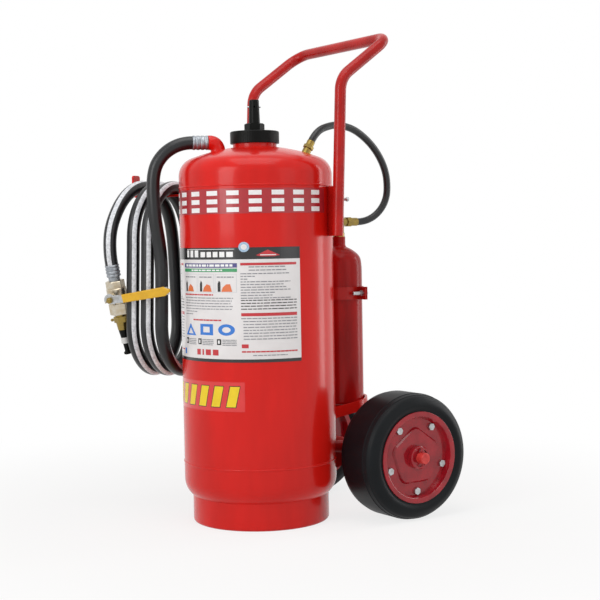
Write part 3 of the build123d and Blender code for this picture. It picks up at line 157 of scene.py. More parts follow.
hose_r, hose_sides, stripe_faces = 0.015, 36, 4
hang_r, limb, pitch, coil_top = 0.116, 0.197, 0.038, 0.768
high, low = coil_top - hang_r, coil_top - hang_r - limb
creep = pitch / (2 * limb + 2 * np.pi * hang_r)
corner = hang_r * np.tan(np.pi / 8)
half_round = creep * np.pi * hang_r


def limb_points(out, across, going_up):
    """Two points on a straight limb, each as far from its bend as the bend's first corner is."""
    rise = [low + corner, high - corner] if going_up else [high - corner, low + corner]
    return [by_hook(out + creep * abs(z - (low if going_up else high)), across, z) for z in rise]


def bend_points(out, centre_z, down):
    """The four corners of a half turn, below the limbs where it goes down, above them otherwise."""
    turned = np.radians([22.5, 67.5, 112.5, 157.5])
    reach = hang_r / np.cos(np.pi / 8)
    way = 1 if down else -1
    return [by_hook(out + creep * hang_r * a, way * reach * np.cos(a), centre_z - way * reach * np.sin(a))
            for a in turned]


hose_route = [
    around(-23.5, 0.143, 0.864), around(-23.5, 0.169, 0.864), around(-23.5, 0.211, 0.840),
    around(-23.5, 0.235, 0.797), around(-23.5, 0.233, 0.702), by_hook(0.1838, 0.116, 0.610),
]
out = 0.1812 + creep * limb
for turn in range(3):
    hose_route += [by_hook(out - creep * corner, hang_r, low + corner)] + bend_points(out, low, True)
    out += half_round
    if turn == 2:
        hose_route.append(by_hook(out + creep * corner, -hang_r, low + corner))
        break
    hose_route += limb_points(out, -hang_r, True)
    out += creep * limb
    hose_route += bend_points(out, high, False)
    out += half_round
    hose_route.append(by_hook(out + creep * corner, hang_r, high - corner))
    out += creep * limb
hose_route += [
    np.array([-0.30224, -0.05208, 0.68295]), by_hook(0.2875, -0.070, 0.751), by_hook(0.291, 0.006, 0.778),
    by_hook(0.296, 0.086, 0.7515), by_hook(0.303, 0.138, 0.6825), by_hook(0.3086, 0.138, 0.6213),
    by_hook(0.307, 0.1316, 0.591),
]
hose_line, hose_at = evenly(line_of(np.array(hose_route)), 0.006)


def eased(at, start, end):
    """0 before the start and 1 after the end, with a smooth change between them."""
    part = np.clip((at - start) / (end - start), 0, 1)
    return part * part * (3 - 2 * part)


# The stripe lies 45 degrees in from the coil's outer side. It faces back where the hose leaves the
# outlet, turns forward over the first stretch, and lies nearly on the outer side in the last.
hook_out, hook_across = around(-58, 1, 0), around(32, 1, 0)
above_limb = hose_line[:, 2] - np.clip(hose_line[:, 2], low, high)
outer_side = (hose_line @ hook_across)[:, None] * hook_across + above_limb[:, None] * upward
outer_side /= np.linalg.norm(outer_side, axis=1)[:, None]
stripe_turn = np.radians(205 - 160 * eased(hose_at, 0.15, 0.9) - 25 * eased(hose_at, 3.1, 3.4))[:, None]
stripe_side = outer_side * np.cos(stripe_turn) - hook_out * np.sin(stripe_turn)
hose = tube("hose_looks", hose_line, hose_r, hose_sides, stripe_side)


# ---------------------------------------------------------------- gas hose
# Half a metre of black rubber hose that carries the gas from the bottle's valve up and over
# into the vessel. Both ends are crimped into brass fittings, and it arches freely between them.
gas_route = np.array([
    (0, 0.2868, 0.681), (0, 0.309, 0.681), (0.007, 0.339, 0.695), (0.014, 0.360, 0.721),
    (0.019, 0.368, 0.754), (0.026, 0.357, 0.808), (0.032, 0.318, 0.860), (0.038, 0.262, 0.897),
    (0.044, 0.215, 0.907), (0.051, 0.180, 0.906), (0.060, 0.1306, 0.8903), (0.060, 0.1159, 0.8659),
])
gas_line = evenly(line_of(gas_route), 0.005)[0]
gas_hose = tube("gas_hose_looks", gas_line, 0.0085, 24, (1, 0, 0))


# ---------------------------------------------------------------- studio
# A plain pale floor and white surroundings, with soft lamps to the camera's left and right, behind
# the object and above it. The floor keeps the shadow near the object and fades to white further off.
def add(tree, kind, links=(), **settings):
    """Add a node, set its properties and unlinked inputs, and link its other inputs."""
    made = tree.nodes.new("ShaderNode" + kind)
    for key, value in settings.items():
        if hasattr(made, key):
            setattr(made, key, value)
        else:
            made.inputs[int(key[1:]) if key[1:].isdigit() else key.replace("_", " ")].default_value = value
    for key, source in dict(links).items():
        tree.links.new(source, made.inputs[key])
    return made


def colour(hex_code):
    """An sRGB hex colour as linear red, green, blue and alpha."""
    s = np.array([int(hex_code[i:i + 2], 16) for i in (1, 3, 5)]) / 255
    return (*np.where(s <= 0.04045, s / 12.92, ((s + 0.055) / 1.055) ** 2.4).tolist(), 1.0)


def seen(tree):
    """1 where the camera, a reflection or clear glass looks, and 0 where light is gathered."""
    ray = add(tree, "LightPath").outputs
    either = add(tree, "Math", {0: ray["Is Camera Ray"], 1: ray["Is Glossy Ray"]}, operation="MAXIMUM")
    through = ray["Is Transmission Ray"]
    return add(tree, "Math", {0: either.outputs[0], 1: through}, operation="MAXIMUM").outputs[0]


scene.view_settings.view_transform = "Standard"
world = bpy.data.worlds.new("surroundings")
scene.world = world
world.use_nodes = True
sky = world.node_tree
sky.nodes.clear()
gathered = add(sky, "Background", Strength=0.52)
shown = add(sky, "Background", Strength=1.0)
gathered.inputs["Color"].default_value = shown.inputs["Color"].default_value = (1, 1, 1, 1)
both = add(sky, "MixShader", {0: seen(sky), 1: gathered.outputs[0], 2: shown.outputs[0]})
add(sky, "OutputWorld", {"Surface": both.outputs[0]})

floor = surface("floor", np.array([[(x, y, 0) for y in (-9, 9)] for x in (-9, 9)], float))
floor_look = bpy.data.materials.new("studio_floor")
floor_look.use_nodes = True
tree = floor_look.node_tree
tree.nodes.clear()
where = add(tree, "TexCoord")
away = add(tree, "VectorMath", {0: where.outputs["Object"]}, operation="LENGTH")
fade = add(tree, "MapRange", {"Value": away.outputs["Value"]}, interpolation_type="SMOOTHSTEP",
           From_Min=0.45, From_Max=1.5, To_Min=0.78, To_Max=1.0)
share = add(tree, "Math", {0: fade.outputs[0], 1: seen(tree)}, operation="MULTIPLY")
matt = add(tree, "BsdfDiffuse")
matt.inputs["Color"].default_value = colour("#eceae8")
glow = add(tree, "Emission")
blended = add(tree, "MixShader", {0: share.outputs[0], 1: matt.outputs[0], 2: glow.outputs[0]})
add(tree, "OutputMaterial", {"Surface": blended.outputs[0]})
floor.data.materials.append(floor_look)


def lamp(name, turn, away, height, size, power):
    """A soft lamp at a turn about the vessel, aimed at the middle of the object."""
    made = bpy.data.objects.new(name, bpy.data.lights.new(name, "AREA"))
    made.data.shape, made.data.size, made.data.size_y, made.data.energy = "RECTANGLE", *size, power
    spot, object_middle = Vector(around(turn, away, height)), Vector((0, 0.05, 0.5))
    aim = (spot - object_middle).to_track_quat("Z", "Y").to_matrix().to_4x4()
    made.matrix_world = Matrix.Translation(spot) @ aim
    scene.collection.objects.link(made)


lamp("key", 15, 2.6, 1.5, (1.1, 1.8), 25)
lamp("fill", 105, 2.8, 1.2, (1.2, 1.8), 4)
lamp("rim", 165, 2.2, 0.9, (0.5, 1.8), 10)
lamp("overhead", 60, 0.6, 2.6, (1.6, 1.6), 17)


# ---------------------------------------------------------------- finishes
# Each finish is named for what it is and how its surface was made, and has its own variation.
def finish(name, base, roughness, **settings):
    """A material with one principled shader of this colour."""
    made = bpy.data.materials.new(name)
    made.use_nodes = True
    shader = made.node_tree.nodes["Principled BSDF"]
    shader.inputs["Base Color"].default_value = colour(base)
    shader.inputs["Roughness"].default_value = roughness
    for key, value in settings.items():
        shader.inputs[key.replace("_", " ")].default_value = value
    return made


def noise(tree, size, stretch=(1, 1, 1), detail=3.0):
    """Noise on the object's own coordinates, of features about this many metres across."""
    where = add(tree, "TexCoord")
    drawn = add(tree, "Mapping", {"Vector": where.outputs["Object"]}, Scale=stretch)
    return add(tree, "TexNoise", {"Vector": drawn.outputs[0]}, Scale=1 / size, Detail=detail).outputs["Fac"]


def vary(made, shade, amount, size, stretch=(1, 1, 1), rough=0.0):
    """Let the colour drift towards another shade, and the roughness with it, by noise."""
    tree = made.node_tree
    shader = tree.nodes["Principled BSDF"]
    cloud = noise(tree, size, stretch)
    part = add(tree, "MapRange", {"Value": cloud}, From_Min=0.35, From_Max=0.7, To_Min=0.0, To_Max=amount)
    mixed = add(tree, "Mix", {0: part.outputs[0]}, data_type="RGBA")
    mixed.inputs[6].default_value = shader.inputs["Base Color"].default_value
    mixed.inputs[7].default_value = colour(shade)
    tree.links.new(mixed.outputs[2], shader.inputs["Base Color"])
    if rough:
        level = shader.inputs["Roughness"].default_value
        drift = add(tree, "MapRange", {"Value": cloud}, From_Min=0.3, From_Max=0.75,
                    To_Min=level, To_Max=level + rough)
        tree.links.new(drift.outputs[0], shader.inputs["Roughness"])
    return made


def relief(made, size, depth, stretch=(1, 1, 1), detail=2.0):
    """Raise the surface by noise: size and depth are in metres."""
    tree = made.node_tree
    height = noise(tree, size, stretch, detail)
    raised = add(tree, "Bump", {"Height": height}, Strength=1.0, Distance=depth)
    tree.links.new(raised.outputs[0], tree.nodes["Principled BSDF"].inputs["Normal"])
    return made


# Sprayed enamel over steel: glossy, with the slight orange peel of spray paint, 5 to 8 mm wide.
red_enamel = finish("red_spray_enamel", "#da1a12", 0.2, Specular_IOR_Level=0.2, Coat_Weight=0.12,
                    Coat_Roughness=0.05)
relief(vary(red_enamel, "#c4170f", 0.7, 0.06, (1, 1, 0.25), 0.06), 0.005, 0.00006)
# A darker copy of the same red enamel for the handle, its brackets and the strap halves: the step darker is
# painted shade, and the noise drift in it is random tone.
red_enamel_darkened_as_painted_shade = finish("red_enamel_with_painted_shade", "#b81913", 0.24, Specular_IOR_Level=0.2, Coat_Weight=0.1)
relief(vary(red_enamel_darkened_as_painted_shade, "#96100d", 0.7, 0.05, rough=0.06), 0.006, 0.00002)
bottle_enamel = finish("dark_red_bottle_enamel", "#ae1412", 0.2, Specular_IOR_Level=0.12, Coat_Weight=0.06)
relief(vary(bottle_enamel, "#7a0d0d", 0.7, 0.05, (1, 1, 0.3), 0.08), 0.005, 0.00008)
rim_enamel = finish("dark_red_rim_enamel", "#aa1926", 0.1, Specular_IOR_Level=0.25, Coat_Weight=0.45,
                    Coat_Roughness=0.06)
relief(vary(rim_enamel, "#86101c", 0.8, 0.03, rough=0.06), 0.008, 0.0001)
axle_paint = vary(finish("red_axle_paint", "#d8403c", 0.45), "#b32420", 0.8, 0.008, rough=0.15)
# Moulded ABS: near black, satin, with a fine grain.
black_abs = finish("black_moulded_abs", "#060706", 0.3, Specular_IOR_Level=0.12)
relief(vary(black_abs, "#0d0f0c", 0.8, 0.02, rough=0.1), 0.0012, 0.00002)
# Wrapped rubber hose: the cloth that it was cured in leaves fine slanting threads.
hose_rubber = finish("black_wrapped_rubber", "#0a0b0d", 0.28, Specular_IOR_Level=0.5)
vary(hose_rubber, "#14161a", 0.8, 0.03, rough=0.1)
stripe_ink = vary(finish("white_hose_stripe", "#eceef2", 0.4), "#b4b7bc", 0.8, 0.006, rough=0.1)
# Moulded solid tyre rubber: matt, slightly green-black, with mould bloom.
tyre_rubber = finish("black_solid_tyre_rubber", "#080b0e", 0.4, Specular_IOR_Level=0.17)
relief(vary(tyre_rubber, "#101417", 0.8, 0.05, (0.3, 1, 1), 0.12), 0.0025, 0.00006)
gasket_rubber = vary(finish("black_gasket_rubber", "#101010", 0.6), "#1c1c1c", 0.7, 0.01)
# Zinc plate on steel: pale grey, satin, with cloudy passivation.
zinc = vary(finish("zinc_plated_steel", "#c3c5c8", 0.3, Metallic=1.0), "#9fa19f", 0.8, 0.006, rough=0.15)
crimp_zinc = vary(finish("dull_zinc_crimp", "#a9adb2", 0.42, Metallic=1.0), "#7f848a", 0.8, 0.008, rough=0.15)
# Nickel on brass: warm silver, rubbed through to brass in places.
nickel = finish("nickel_plated_brass", "#c9c1b0", 0.26, Metallic=1.0)
relief(vary(nickel, "#b59f7a", 0.6, 0.012, rough=0.14), 0.002, 0.00003)
brass = vary(finish("turned_brass", "#9c8544", 0.27, Metallic=1.0), "#86734a", 0.7, 0.008, rough=0.12)
ptfe = vary(finish("white_ptfe", "#e6e6e0", 0.4), "#d4d4cc", 0.6, 0.01)
# Dip-moulded vinyl: bright yellow, soft gloss.
vinyl = finish("yellow_dipped_vinyl", "#e3b010", 0.3, Coat_Weight=0.2)
relief(vary(vinyl, "#cf9a08", 0.7, 0.015, rough=0.1), 0.004, 0.00008)
white_abs = vary(finish("white_moulded_abs", "#dcdcda", 0.35), "#c4c4c2", 0.6, 0.01)
raw_steel = vary(finish("drawn_spring_steel", "#8f9296", 0.3, Metallic=1.0), "#6d7074", 0.7, 0.004, rough=0.1)


def wrap_marks(made, turn):
    """Fine slanting threads left by the curing cloth, on the hose's own lengthwise coordinates."""
    tree = made.node_tree
    lie = add(tree, "UVMap", uv_map="lie")
    lean_both = []
    for way in (1, -1):
        turned_lie = add(tree, "Mapping", {"Vector": lie.outputs[0]}, Rotation=(0, 0, way * turn))
        threads = add(tree, "TexWave", {"Vector": turned_lie.outputs[0]}, Scale=1 / 0.0075, Distortion=0.6,
                      Detail=1.0, Detail_Scale=0.6)
        lean_both.append(threads.outputs["Fac"])
    crossed = add(tree, "Math", dict(enumerate(lean_both)), operation="MAXIMUM")
    raised = add(tree, "Bump", {"Height": crossed.outputs[0]}, Strength=0.7, Distance=0.00012)
    tree.links.new(raised.outputs[0], tree.nodes["Principled BSDF"].inputs["Normal"])


wrap_marks(hose_rubber, radians(52))

body_of = {n: b for b, members in frame["record"]["behaviour"]["bodies"].items() for n in members}


def fit(made, nodes, slot, *looks):
    """The piece stands for its CAD nodes, moves with their body and takes its finishes."""
    nodes = nodes.split()
    for look in looks:
        made.data.materials.append(look)
    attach(made, body_of[nodes[0]])
    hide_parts(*nodes)
    return made


def carried(node, slot, look, edge=0.4, angle=35):
    """A copy of a CAD node with joined corners, whole flat faces and edges eased by some tenths
    of a millimetre."""
    made = bpy.data.objects.new(node + "_looks", frame["nodes"][node].data.copy())
    scene.collection.objects.link(made)
    made.data.materials.clear()
    work = bmesh.new()
    work.from_mesh(made.data)
    bmesh.ops.remove_doubles(work, verts=work.verts, dist=1e-5)
    bmesh.ops.dissolve_limit(work, angle_limit=radians(0.4), verts=work.verts, edges=work.edges)
    work.to_mesh(made.data)
    work.free()
    if "custom_normal" in made.data.attributes:
        made.data.attributes.remove(made.data.attributes["custom_normal"])
    made.data.shade_smooth()
    made.data.set_sharp_from_angle(angle=radians(angle))
    if edge:
        bevel = made.modifiers.new("edge", "BEVEL")
        bevel.width, bevel.segments = edge / 1000, 2
        bevel.limit_method, bevel.angle_limit = "ANGLE", radians(angle)
        bevel.harden_normals = True
    return fit(made, node, slot, look)


def rounded(corners, steps=5):
    """A profile whose corners are softened: a corner given a third number is cut back by that
    much along both its sides and bridged by a parabola."""
    found, count = [], len(corners)
    for k, corner in enumerate(corners):
        here = np.array(corner[:2], float)
        if len(corner) < 3:
            found.append(here)
            continue
        before, after = (np.array(corners[(k + s) % count][:2], float) for s in (-1, 1))
        starts = [here + (other - here) * min(corner[2] / np.linalg.norm(other - here), 0.499)
                  for other in (before, after)]
        t = np.linspace(0, 1, steps + 1)[:, None]
        found.extend((1 - t) ** 2 * starts[0] + 2 * t * (1 - t) * here + t ** 2 * starts[1])
    return np.array(found)


def turned(name, profile, origin=(0, 0, 0), axis=(0, 0, 1), steps=96, angle=35, ripple=None):
    """A closed profile of (radius, height) in millimetres turned about an axis: each point is
    origin + height axis + radius (cos a side + sin a across)."""
    axis = np.array(axis, float) / np.linalg.norm(axis)
    side = np.cross(axis, (0, 0, 1) if abs(axis[2]) < 0.9 else (1, 0, 0))
    side /= np.linalg.norm(side)
    a = np.linspace(0, 2 * np.pi, steps + 1)[:-1]
    spoke = np.cos(a)[:, None] * side + np.sin(a)[:, None] * np.cross(axis, side)
    r, h = np.asarray(profile, float).T[:2]
    r = np.broadcast_to(r, (steps, len(r))) if ripple is None else ripple(r[None], h[None], a[:, None])
    grid = np.array(origin) + (h[:, None] * axis + r[:, :, None] * spoke[:, None]) / 1000
    return surface(name, grid, (True, True), angle=angle)


# ---------------------------------------------------------------- pressure vessel
# A rolled steel cylinder, 350 mm across, with a pressed dished end welded in at each end and a
# rolled skirt to stand on. The whole is sprayed red after welding.
shell_r, wall, neck_r, low_seam, high_seam = 175, 4, 50, 137, 764


def dish(seam, flange, way, knuckle, crown):
    """Half the section of a dished end: flange, knuckle arc and crown arc, outside then inside."""
    drop = np.sqrt((crown - knuckle) ** 2 - (shell_r - knuckle) ** 2)
    lean = np.arcsin((shell_r - knuckle) / (crown - knuckle))
    bend = np.linspace(np.pi / 2, lean, 14)
    dome = np.linspace(lean, np.arcsin(neck_r / crown) if way > 0 else 0, 14)[1:]
    faces = []
    for skin in (0, wall):
        tight, wide = knuckle - skin, crown - skin
        r = np.concatenate([shell_r - knuckle + tight * np.sin(bend), wide * np.sin(dome)])
        h = np.concatenate([tight * np.cos(bend), wide * np.cos(dome) - drop])
        faces.append(np.column_stack([r, flange + way * h]))
    return np.concatenate([[(shell_r, seam)], faces[0], faces[1][::-1], [(shell_r - wall, seam)]])


top_dish = turned("top_dish", dish(high_seam, 788, 1, 43, 410), steps=160, angle=50)
fit(top_dish, "top_dome", "red_paint", red_enamel)
bottom_dish = turned("bottom_dish", dish(low_seam, 100, -1, 50, 900), steps=160, angle=50)
fit(bottom_dish, "bottom_dome", "red_paint", red_enamel)
# A weld bead, 1.2 mm proud and 4.4 mm high, runs round each end of the cylinder.
bead_turn = np.linspace(-np.pi / 2, np.pi / 2, 9)
beads = [np.column_stack([shell_r - 0.4 + 1.6 * np.cos(bead_turn), z + 2.2 * np.sin(bead_turn)])
         for z in (low_seam + 1.8, high_seam - 1.8)]
between = np.column_stack([np.full(9, shell_r), np.linspace(150, 750, 9)])
ends = [(shell_r, high_seam), (shell_r - wall, high_seam), (shell_r - wall, low_seam)]
shell_side = np.concatenate([[(shell_r, low_seam)], beads[0], between, beads[1], ends])
fit(turned("shell_side", shell_side, steps=160, angle=60), "shell_cylinder", "red_paint", red_enamel)
skirt = rounded([(156.4, 62), (156.4, 0, 7), (144.4, 0, 1), (144.4, 4, 1), (152.4, 4, 4), (152.4, 58)])
fit(turned("foot_skirt", skirt, steps=160, angle=50), "foot_ring", "red_paint", red_enamel)
neck = rounded([(neck_r, 844), (neck_r, 878, 1.5), (41, 878, 1.5), (41, 844)])
fit(turned("neck_looks", neck), "neck_ring", "red_paint", red_enamel)


# ---------------------------------------------------------------- printed label and tapes
# A glossy vinyl label wraps half of the shell. It has plain blocks and rules in place of words:
# a black heading, a title bar, a green bar, small picture boxes, lines of type and hazard shapes.
# Here angles are in degrees about the vessel's axis, and radii and heights in millimetres.
label_r = shell_r + 0.25


def span(corners, t):
    """The lowest and highest height of a convex outline of (angle, height) corners at one angle."""
    met = []
    for a, b in zip(corners, corners[1:] + corners[:1]):
        if min(a[0], b[0]) - 1e-5 <= t <= max(a[0], b[0]) + 1e-5:
            met += [a[1], b[1]] if a[0] == b[0] else [a[1] + (b[1] - a[1]) * (t - a[0]) / (b[0] - a[0])]
    return min(met), max(met)


def sticker(name, kinds, patches, radius):
    """Thin printed patches on the shell. A patch is (kind, from angle, to angle, from z, to z) or
    has a list of (angle, z) corners instead. Each lies on its own layer, radius + lift, and is cut
    into upright strips that follow the shell."""
    points, faces, looks = [], [], []
    layers = {kind: n for n, kind in enumerate(kinds)}
    for kind, *shape in patches:
        corners = shape[0]
        if len(shape) == 4:
            start, end, bottom, top_edge = shape
            corners = [(start, bottom), (end, bottom), (end, top_edge), (start, top_edge)]
        ends = [t for t, z in corners]
        turns = np.linspace(min(ends), max(ends), int(np.ceil((max(ends) - min(ends)) / 2.5)) + 1)
        turns = np.unique(np.round(np.concatenate([turns, ends]), 6))
        base = len(points)
        for t in turns:
            points += [tuple(around(t, radius + 0.05 * layers[kind], z) / 1000) for z in span(corners, t)]
        faces += [(k, k + 2, k + 3, k + 1) for k in range(base, base + 2 * len(turns) - 2, 2)]
        looks += [layers[kind]] * (len(turns) - 1)
    mesh = bpy.data.meshes.new(name)
    mesh.from_pydata(points, [], faces)
    mesh.polygons.foreach_set("material_index", looks)
    made = bpy.data.objects.new(name, mesh)
    scene.collection.objects.link(made)
    film = made.modifiers.new("film", "SOLIDIFY")
    film.thickness, film.offset = 0.00004, 0
    for look in kinds.values():
        mesh.materials.append(look)
    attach(made, "extinguisher")
    return made


def print_ink(name, base):
    """Screen ink under clear film: an even colour, glossy, slightly mottled."""
    return vary(finish(name, base, 0.22, Coat_Weight=0.3, Coat_Roughness=0.08), base, 0.0, 0.02, rough=0.06)


label_vinyl = vary(finish("white_label_vinyl", "#e9e6e6", 0.2, Coat_Weight=0.3, Coat_Roughness=0.08),
                   "#dedada", 0.6, 0.05, rough=0.06)
label_inks = {
    "white": label_vinyl,
    "pale": print_ink("pale_grey_label_ink", "#c9cbcf"),
    "blue": print_ink("blue_label_ink", "#2c78d2"),
    "plain": label_vinyl,
    "black": print_ink("black_label_ink", "#17181a"),
    "red": print_ink("red_label_ink", "#c42a33"),
    "title": print_ink("violet_label_ink", "#4a4684"),
    "green": print_ink("green_label_ink", "#3c9a63"),
    "orange": print_ink("orange_label_ink", "#e0703a"),
    "grey": print_ink("grey_type_ink", "#85878c"),
    "knockout": print_ink("white_knockout_ink", "#f2f2f2"),
}


def words(kind, start, end, z, tall, seed, space=0.55):
    """A line of type as blocks: runs of three to nine letter widths with a gap after each."""
    dice = np.random.default_rng(seed)
    found, at = [], start
    while at < end - 0.6:
        run = min(dice.uniform(1.4, 4.6), end - at)
        found.append((kind, at, at + run, z - tall / 2, z + tall / 2))
        at += run + space
    return found


def text_column(start, end, seed):
    """One column of the label: a red heading, type in paragraphs, a second heading and more."""
    found = [("red", start, end, 587.5, 593)]
    for k, z in enumerate((584, 577)):
        found += words("grey", start + 6, end - 8, z, 2.0, seed + k)
    for k, filled in enumerate((0.35, 0.25, 0.12, 0.62, 0.75, 0.8, 0.05, 0.6, 0.55, 0.3)):
        short = (end - start) * (1 - filled if k % 3 else 0.12)
        found += words("grey", start, end - short, 569.5 - 5.9 * k, 1.9, seed + 10 + k)
    for k in range(4):
        found += words("black", start, end, 511.5 - 6.3 * k, 2.0, seed + 30 + k)
    found.append(("red", start, end, 477, 484))
    for k in range(8):
        found += words("grey", start + (k > 0) * 1.5, end, 472 - 6.4 * k, 1.9, seed + 40 + k)
    found += words("red", start, end, 399.6, 3.2, seed + 60, 0.3)
    found.append(("red", start, start + 5, 407.5, 416))
    found += words("grey", start + 8, end - 8, 391.5, 1.8, seed + 61)
    return found


label = [("white", -90, 90, 383, 600.8), ("black", -90, 90, 600.8, 626.5), ("black", -90, 90, 376, 383)]
label += text_column(45.7, 86.8, 100) + text_column(-50, -12.5, 200) + text_column(-88, -54, 300)
label += [("knockout", a, b, 606, 621) for a, b in ((-4, -1), (1, 4.5), (6.5, 10.5))]
label += [("knockout", a, b, 606, 617.5)
          for a, b in ((13, 17.5), (19, 23), (24.5, 28.5), (30, 34), (35.5, 40.5))]
label += [("knockout", -4, 41.5, 622.5, 623.6),
          ("red", [(57, 609), (61, 606.5), (70, 606.5), (74.3, 609), (68, 617.5), (65.5, 621), (63, 617.5)]),
          ("knockout", 60, 71.4, 608.8, 610.6)]
label += [("title", -9, 43.3, 583, 592.6), ("green", -9, 43.3, 573.6, 581)]
label += words("knockout", -6, 41, 587.8, 5.0, 7, 0.8) + words("knockout", 2, 32, 577.3, 3.0, 8, 0.8)
for k, (a, b) in enumerate(((-9, 8.5), (9.5, 25), (26, 42.8))):
    label += [("pale", a, b, 529, 569), ("plain", a + 0.3, b - 0.3, 529.8, 568.2)]
    label += [("orange", [(a + 5, 530.5), (a + 13.5, 530.5), (a + 12, 541 + 3 * k), (a + 9, 547),
                          (a + 6.2, 540)]),
              ("black", [(a + 2, 530.5), (a + 4.4, 530.5), (a + 4.4, 549 + k), (a + 3.2, 555),
                         (a + 2, 548)]),
              ("red", [(a + 8, 530.5), (a + 12, 530.5), (a + 10.4, 538)])]
    label += words("grey", a + 1.5, b - 2, 562.5, 2.2, 20 + k)
label += words("red", -9, 24, 523.6, 3.0, 31, 0.4)
for k, end in enumerate((40, 39, 38, 40, 39, 8, 3)):
    label += words("grey", -8 + (k % 2), end, 516.5 - 6 * k, 1.7, 60 + k)
label += words("red", 3, 30.5, 468, 3.2, 33, 0.4)
label.append(("blue", [(-8, 433), (6.2, 433), (-1, 460)]))
label.append(("plain", [(-4.2, 437), (2.4, 437), (-1, 449.5)]))
label.append(("blue", 11, 23.4, 435, 459.5))
label.append(("plain", 14.2, 20.2, 441, 453.5))
disc = np.radians(np.arange(0, 360, 12))
label.append(("blue", [(34.3 + 6.6 * np.cos(a), 447.2 + 12.6 * np.sin(a)) for a in disc]))
label.append(("plain", [(34.3 + 3.3 * np.cos(a), 447.2 + 6.2 * np.sin(a)) for a in disc]))
for k, (a, b) in enumerate(((-8, 6.2), (8.5, 23.6), (26.5, 42))):
    label += [("black", a, a + 3.6, 414, 427), ("knockout", a + 1, a + 2.4, 417, 424)]
    for n in range(4):
        label += words("grey", a + 4.6, b, 425 - 3.7 * n, 1.6, 80 + 4 * k + n, 0.3)
label += [("red", a, b, 391, 403.6) for a, b in ((7, 11), (12.8, 14.4), (16.2, 21), (22.8, 27.7))]
label += [("blue", -11.5, -8.6, 390, 403)]
sticker("label_looks", label_inks, label, label_r)

hologram = vary(finish("pale_blue_hologram", "#b8cfe4", 0.15, Metallic=0.4), "#7fa8cc", 0.8, 0.004)
seal_inks = {"pale": hologram, "white": label_inks["white"]}
sticker("round_seal", seal_inks, [
    ("pale", [(48.5 + 3.9 * np.cos(a), 627.3 + 11 * np.sin(a)) for a in disc]),
    ("white", [(48.5 + 2.2 * np.cos(a), 627.3 + 6 * np.sin(a)) for a in disc])], label_r + 0.5)

# Red reflective tape with three rows of white bars, all round between the handle's two brackets.
tape_inks = {
    "tape": vary(finish("red_reflective_tape", "#ae2029", 0.3, Coat_Weight=0.2),
                 "#9c1a22", 0.6, 0.02, rough=0.1),
    "bars": vary(finish("white_reflective_bar", "#f4f2f2", 0.35), "#e6e2e2", 0.6, 0.01, rough=0.1),
}
tape, bar_step, bar_half = [("tape", -118, 118, 700, 754.5)], 16.36, 4.6
tape += [("bars", bar_step * (k + 0.5) - bar_half, bar_step * (k + 0.5) + bar_half, z, z + 10.2)
         for k in range(-7, 7) for z in (703.5, 721.5, 739.8)]
sticker("reflective_tape", tape_inks, tape, label_r)

# A clear-edged film low on the front carries seven slanting yellow bars with dark outlines.
hazard_inks = {
    "film": vary(finish("clear_red_film", "#de2a2a", 0.25, Coat_Weight=0.4), "#d02424", 0.5, 0.02),
    "outline": print_ink("black_outline_ink", "#1c1408"),
    "yellow": vary(finish("yellow_signal_ink", "#f2d21a", 0.3), "#e0bf12", 0.5, 0.02, rough=0.08),
}
hazard = [("film", -47.3, 47.3, 268, 333)]
stripe_wide, stripe_step, slant = 7.2, 12.6, 3.4
for k in range(7):
    start = -42.5 + stripe_step * k
    for kind, grow in (("outline", 1), ("yellow", 0)):
        a, b = start - 0.55 * grow, start + stripe_wide + 0.55 * grow
        bottom, top_edge = 278 - 1.6 * grow, 323 + 1.6 * grow
        hazard.append((kind, [(a, bottom), (b, bottom), (b + slant, top_edge), (a + slant, top_edge)]))
sticker("hazard_film", hazard_inks, hazard, label_r)


# ---------------------------------------------------------------- filler cap and relief valve
# A moulded black cap with fine grip ribs screws onto the neck over a rubber gasket. On it stand
# a hexagon, a slotted barrel and a spring-loaded poppet with a cross pin.
def ribs(r, h, a):
    """Ninety shallow vertical ribs on the widest part of the cap."""
    wave = 0.5 - 0.5 * np.cos(90 * a)
    return r - 0.25 * wave * (r > 55.5) * (h > 862) * (h < 886)


cap_profile = rounded([(56, 861, 1.2), (56, 889, 3.5), (9, 889, 0.6), (9, 882), (50.4, 882), (50.4, 861)], 6)
tall = np.insert(cap_profile, 7, [(56, 864), (56, 884)], axis=0)
fit(turned("cap_looks", tall, steps=540, angle=40, ripple=ribs), "filler_cap", "black_plastic", black_abs)
carried("cap_gasket", "gasket_rubber", gasket_rubber, 0.2)
carried("relief_nut", "black_plastic", black_abs, 0.6)
carried("relief_barrel", "black_plastic", black_abs, 0.3)
carried("relief_poppet", "black_plastic", black_abs, 0.2)
carried("relief_pin", "zinc_steel", zinc, 0)
carried("relief_spring", "zinc_steel", raw_steel, 0, 80)

# ---------------------------------------------------------------- outlet and hose ferrules
# A welded red elbow, and crimped steel ferrules that grip the hose at both its ends.
carried("outlet_elbow", "red_paint", red_enamel, 0.5, 40)
carried("siphon_tube", "zinc_steel", zinc, 0)
carried("outlet_ferrule", "zinc_steel", crimp_zinc, 0.2, 30)
ferrule = carried("nozzle_ferrule", "zinc_steel", crimp_zinc, 0.2, 30)

# The hose takes its finishes here: the stripe is the four faces that face its outer side.
fit(hose, "discharge_hose_lead discharge_hose_coil discharge_hose_tail", "hose_rubber", hose_rubber,
    stripe_ink)
hose_faces = len(hose.data.polygons)
turn_of_face = np.tile(np.arange(hose_sides), len(hose_line) + 1)[:hose_faces]
striped = np.minimum(turn_of_face, hose_sides - 1 - turn_of_face) < stripe_faces / 2
hose.data.polygons.foreach_set("material_index", striped.astype(int).tolist())
fit(gas_hose, "gas_hose", "hose_rubber", hose_rubber)

# ---------------------------------------------------------------- hose hook
# A flat steel bar welded to the shell, bent up at its tip, painted with it.
carried("hose_hook", "red_paint", red_enamel, 0.6)

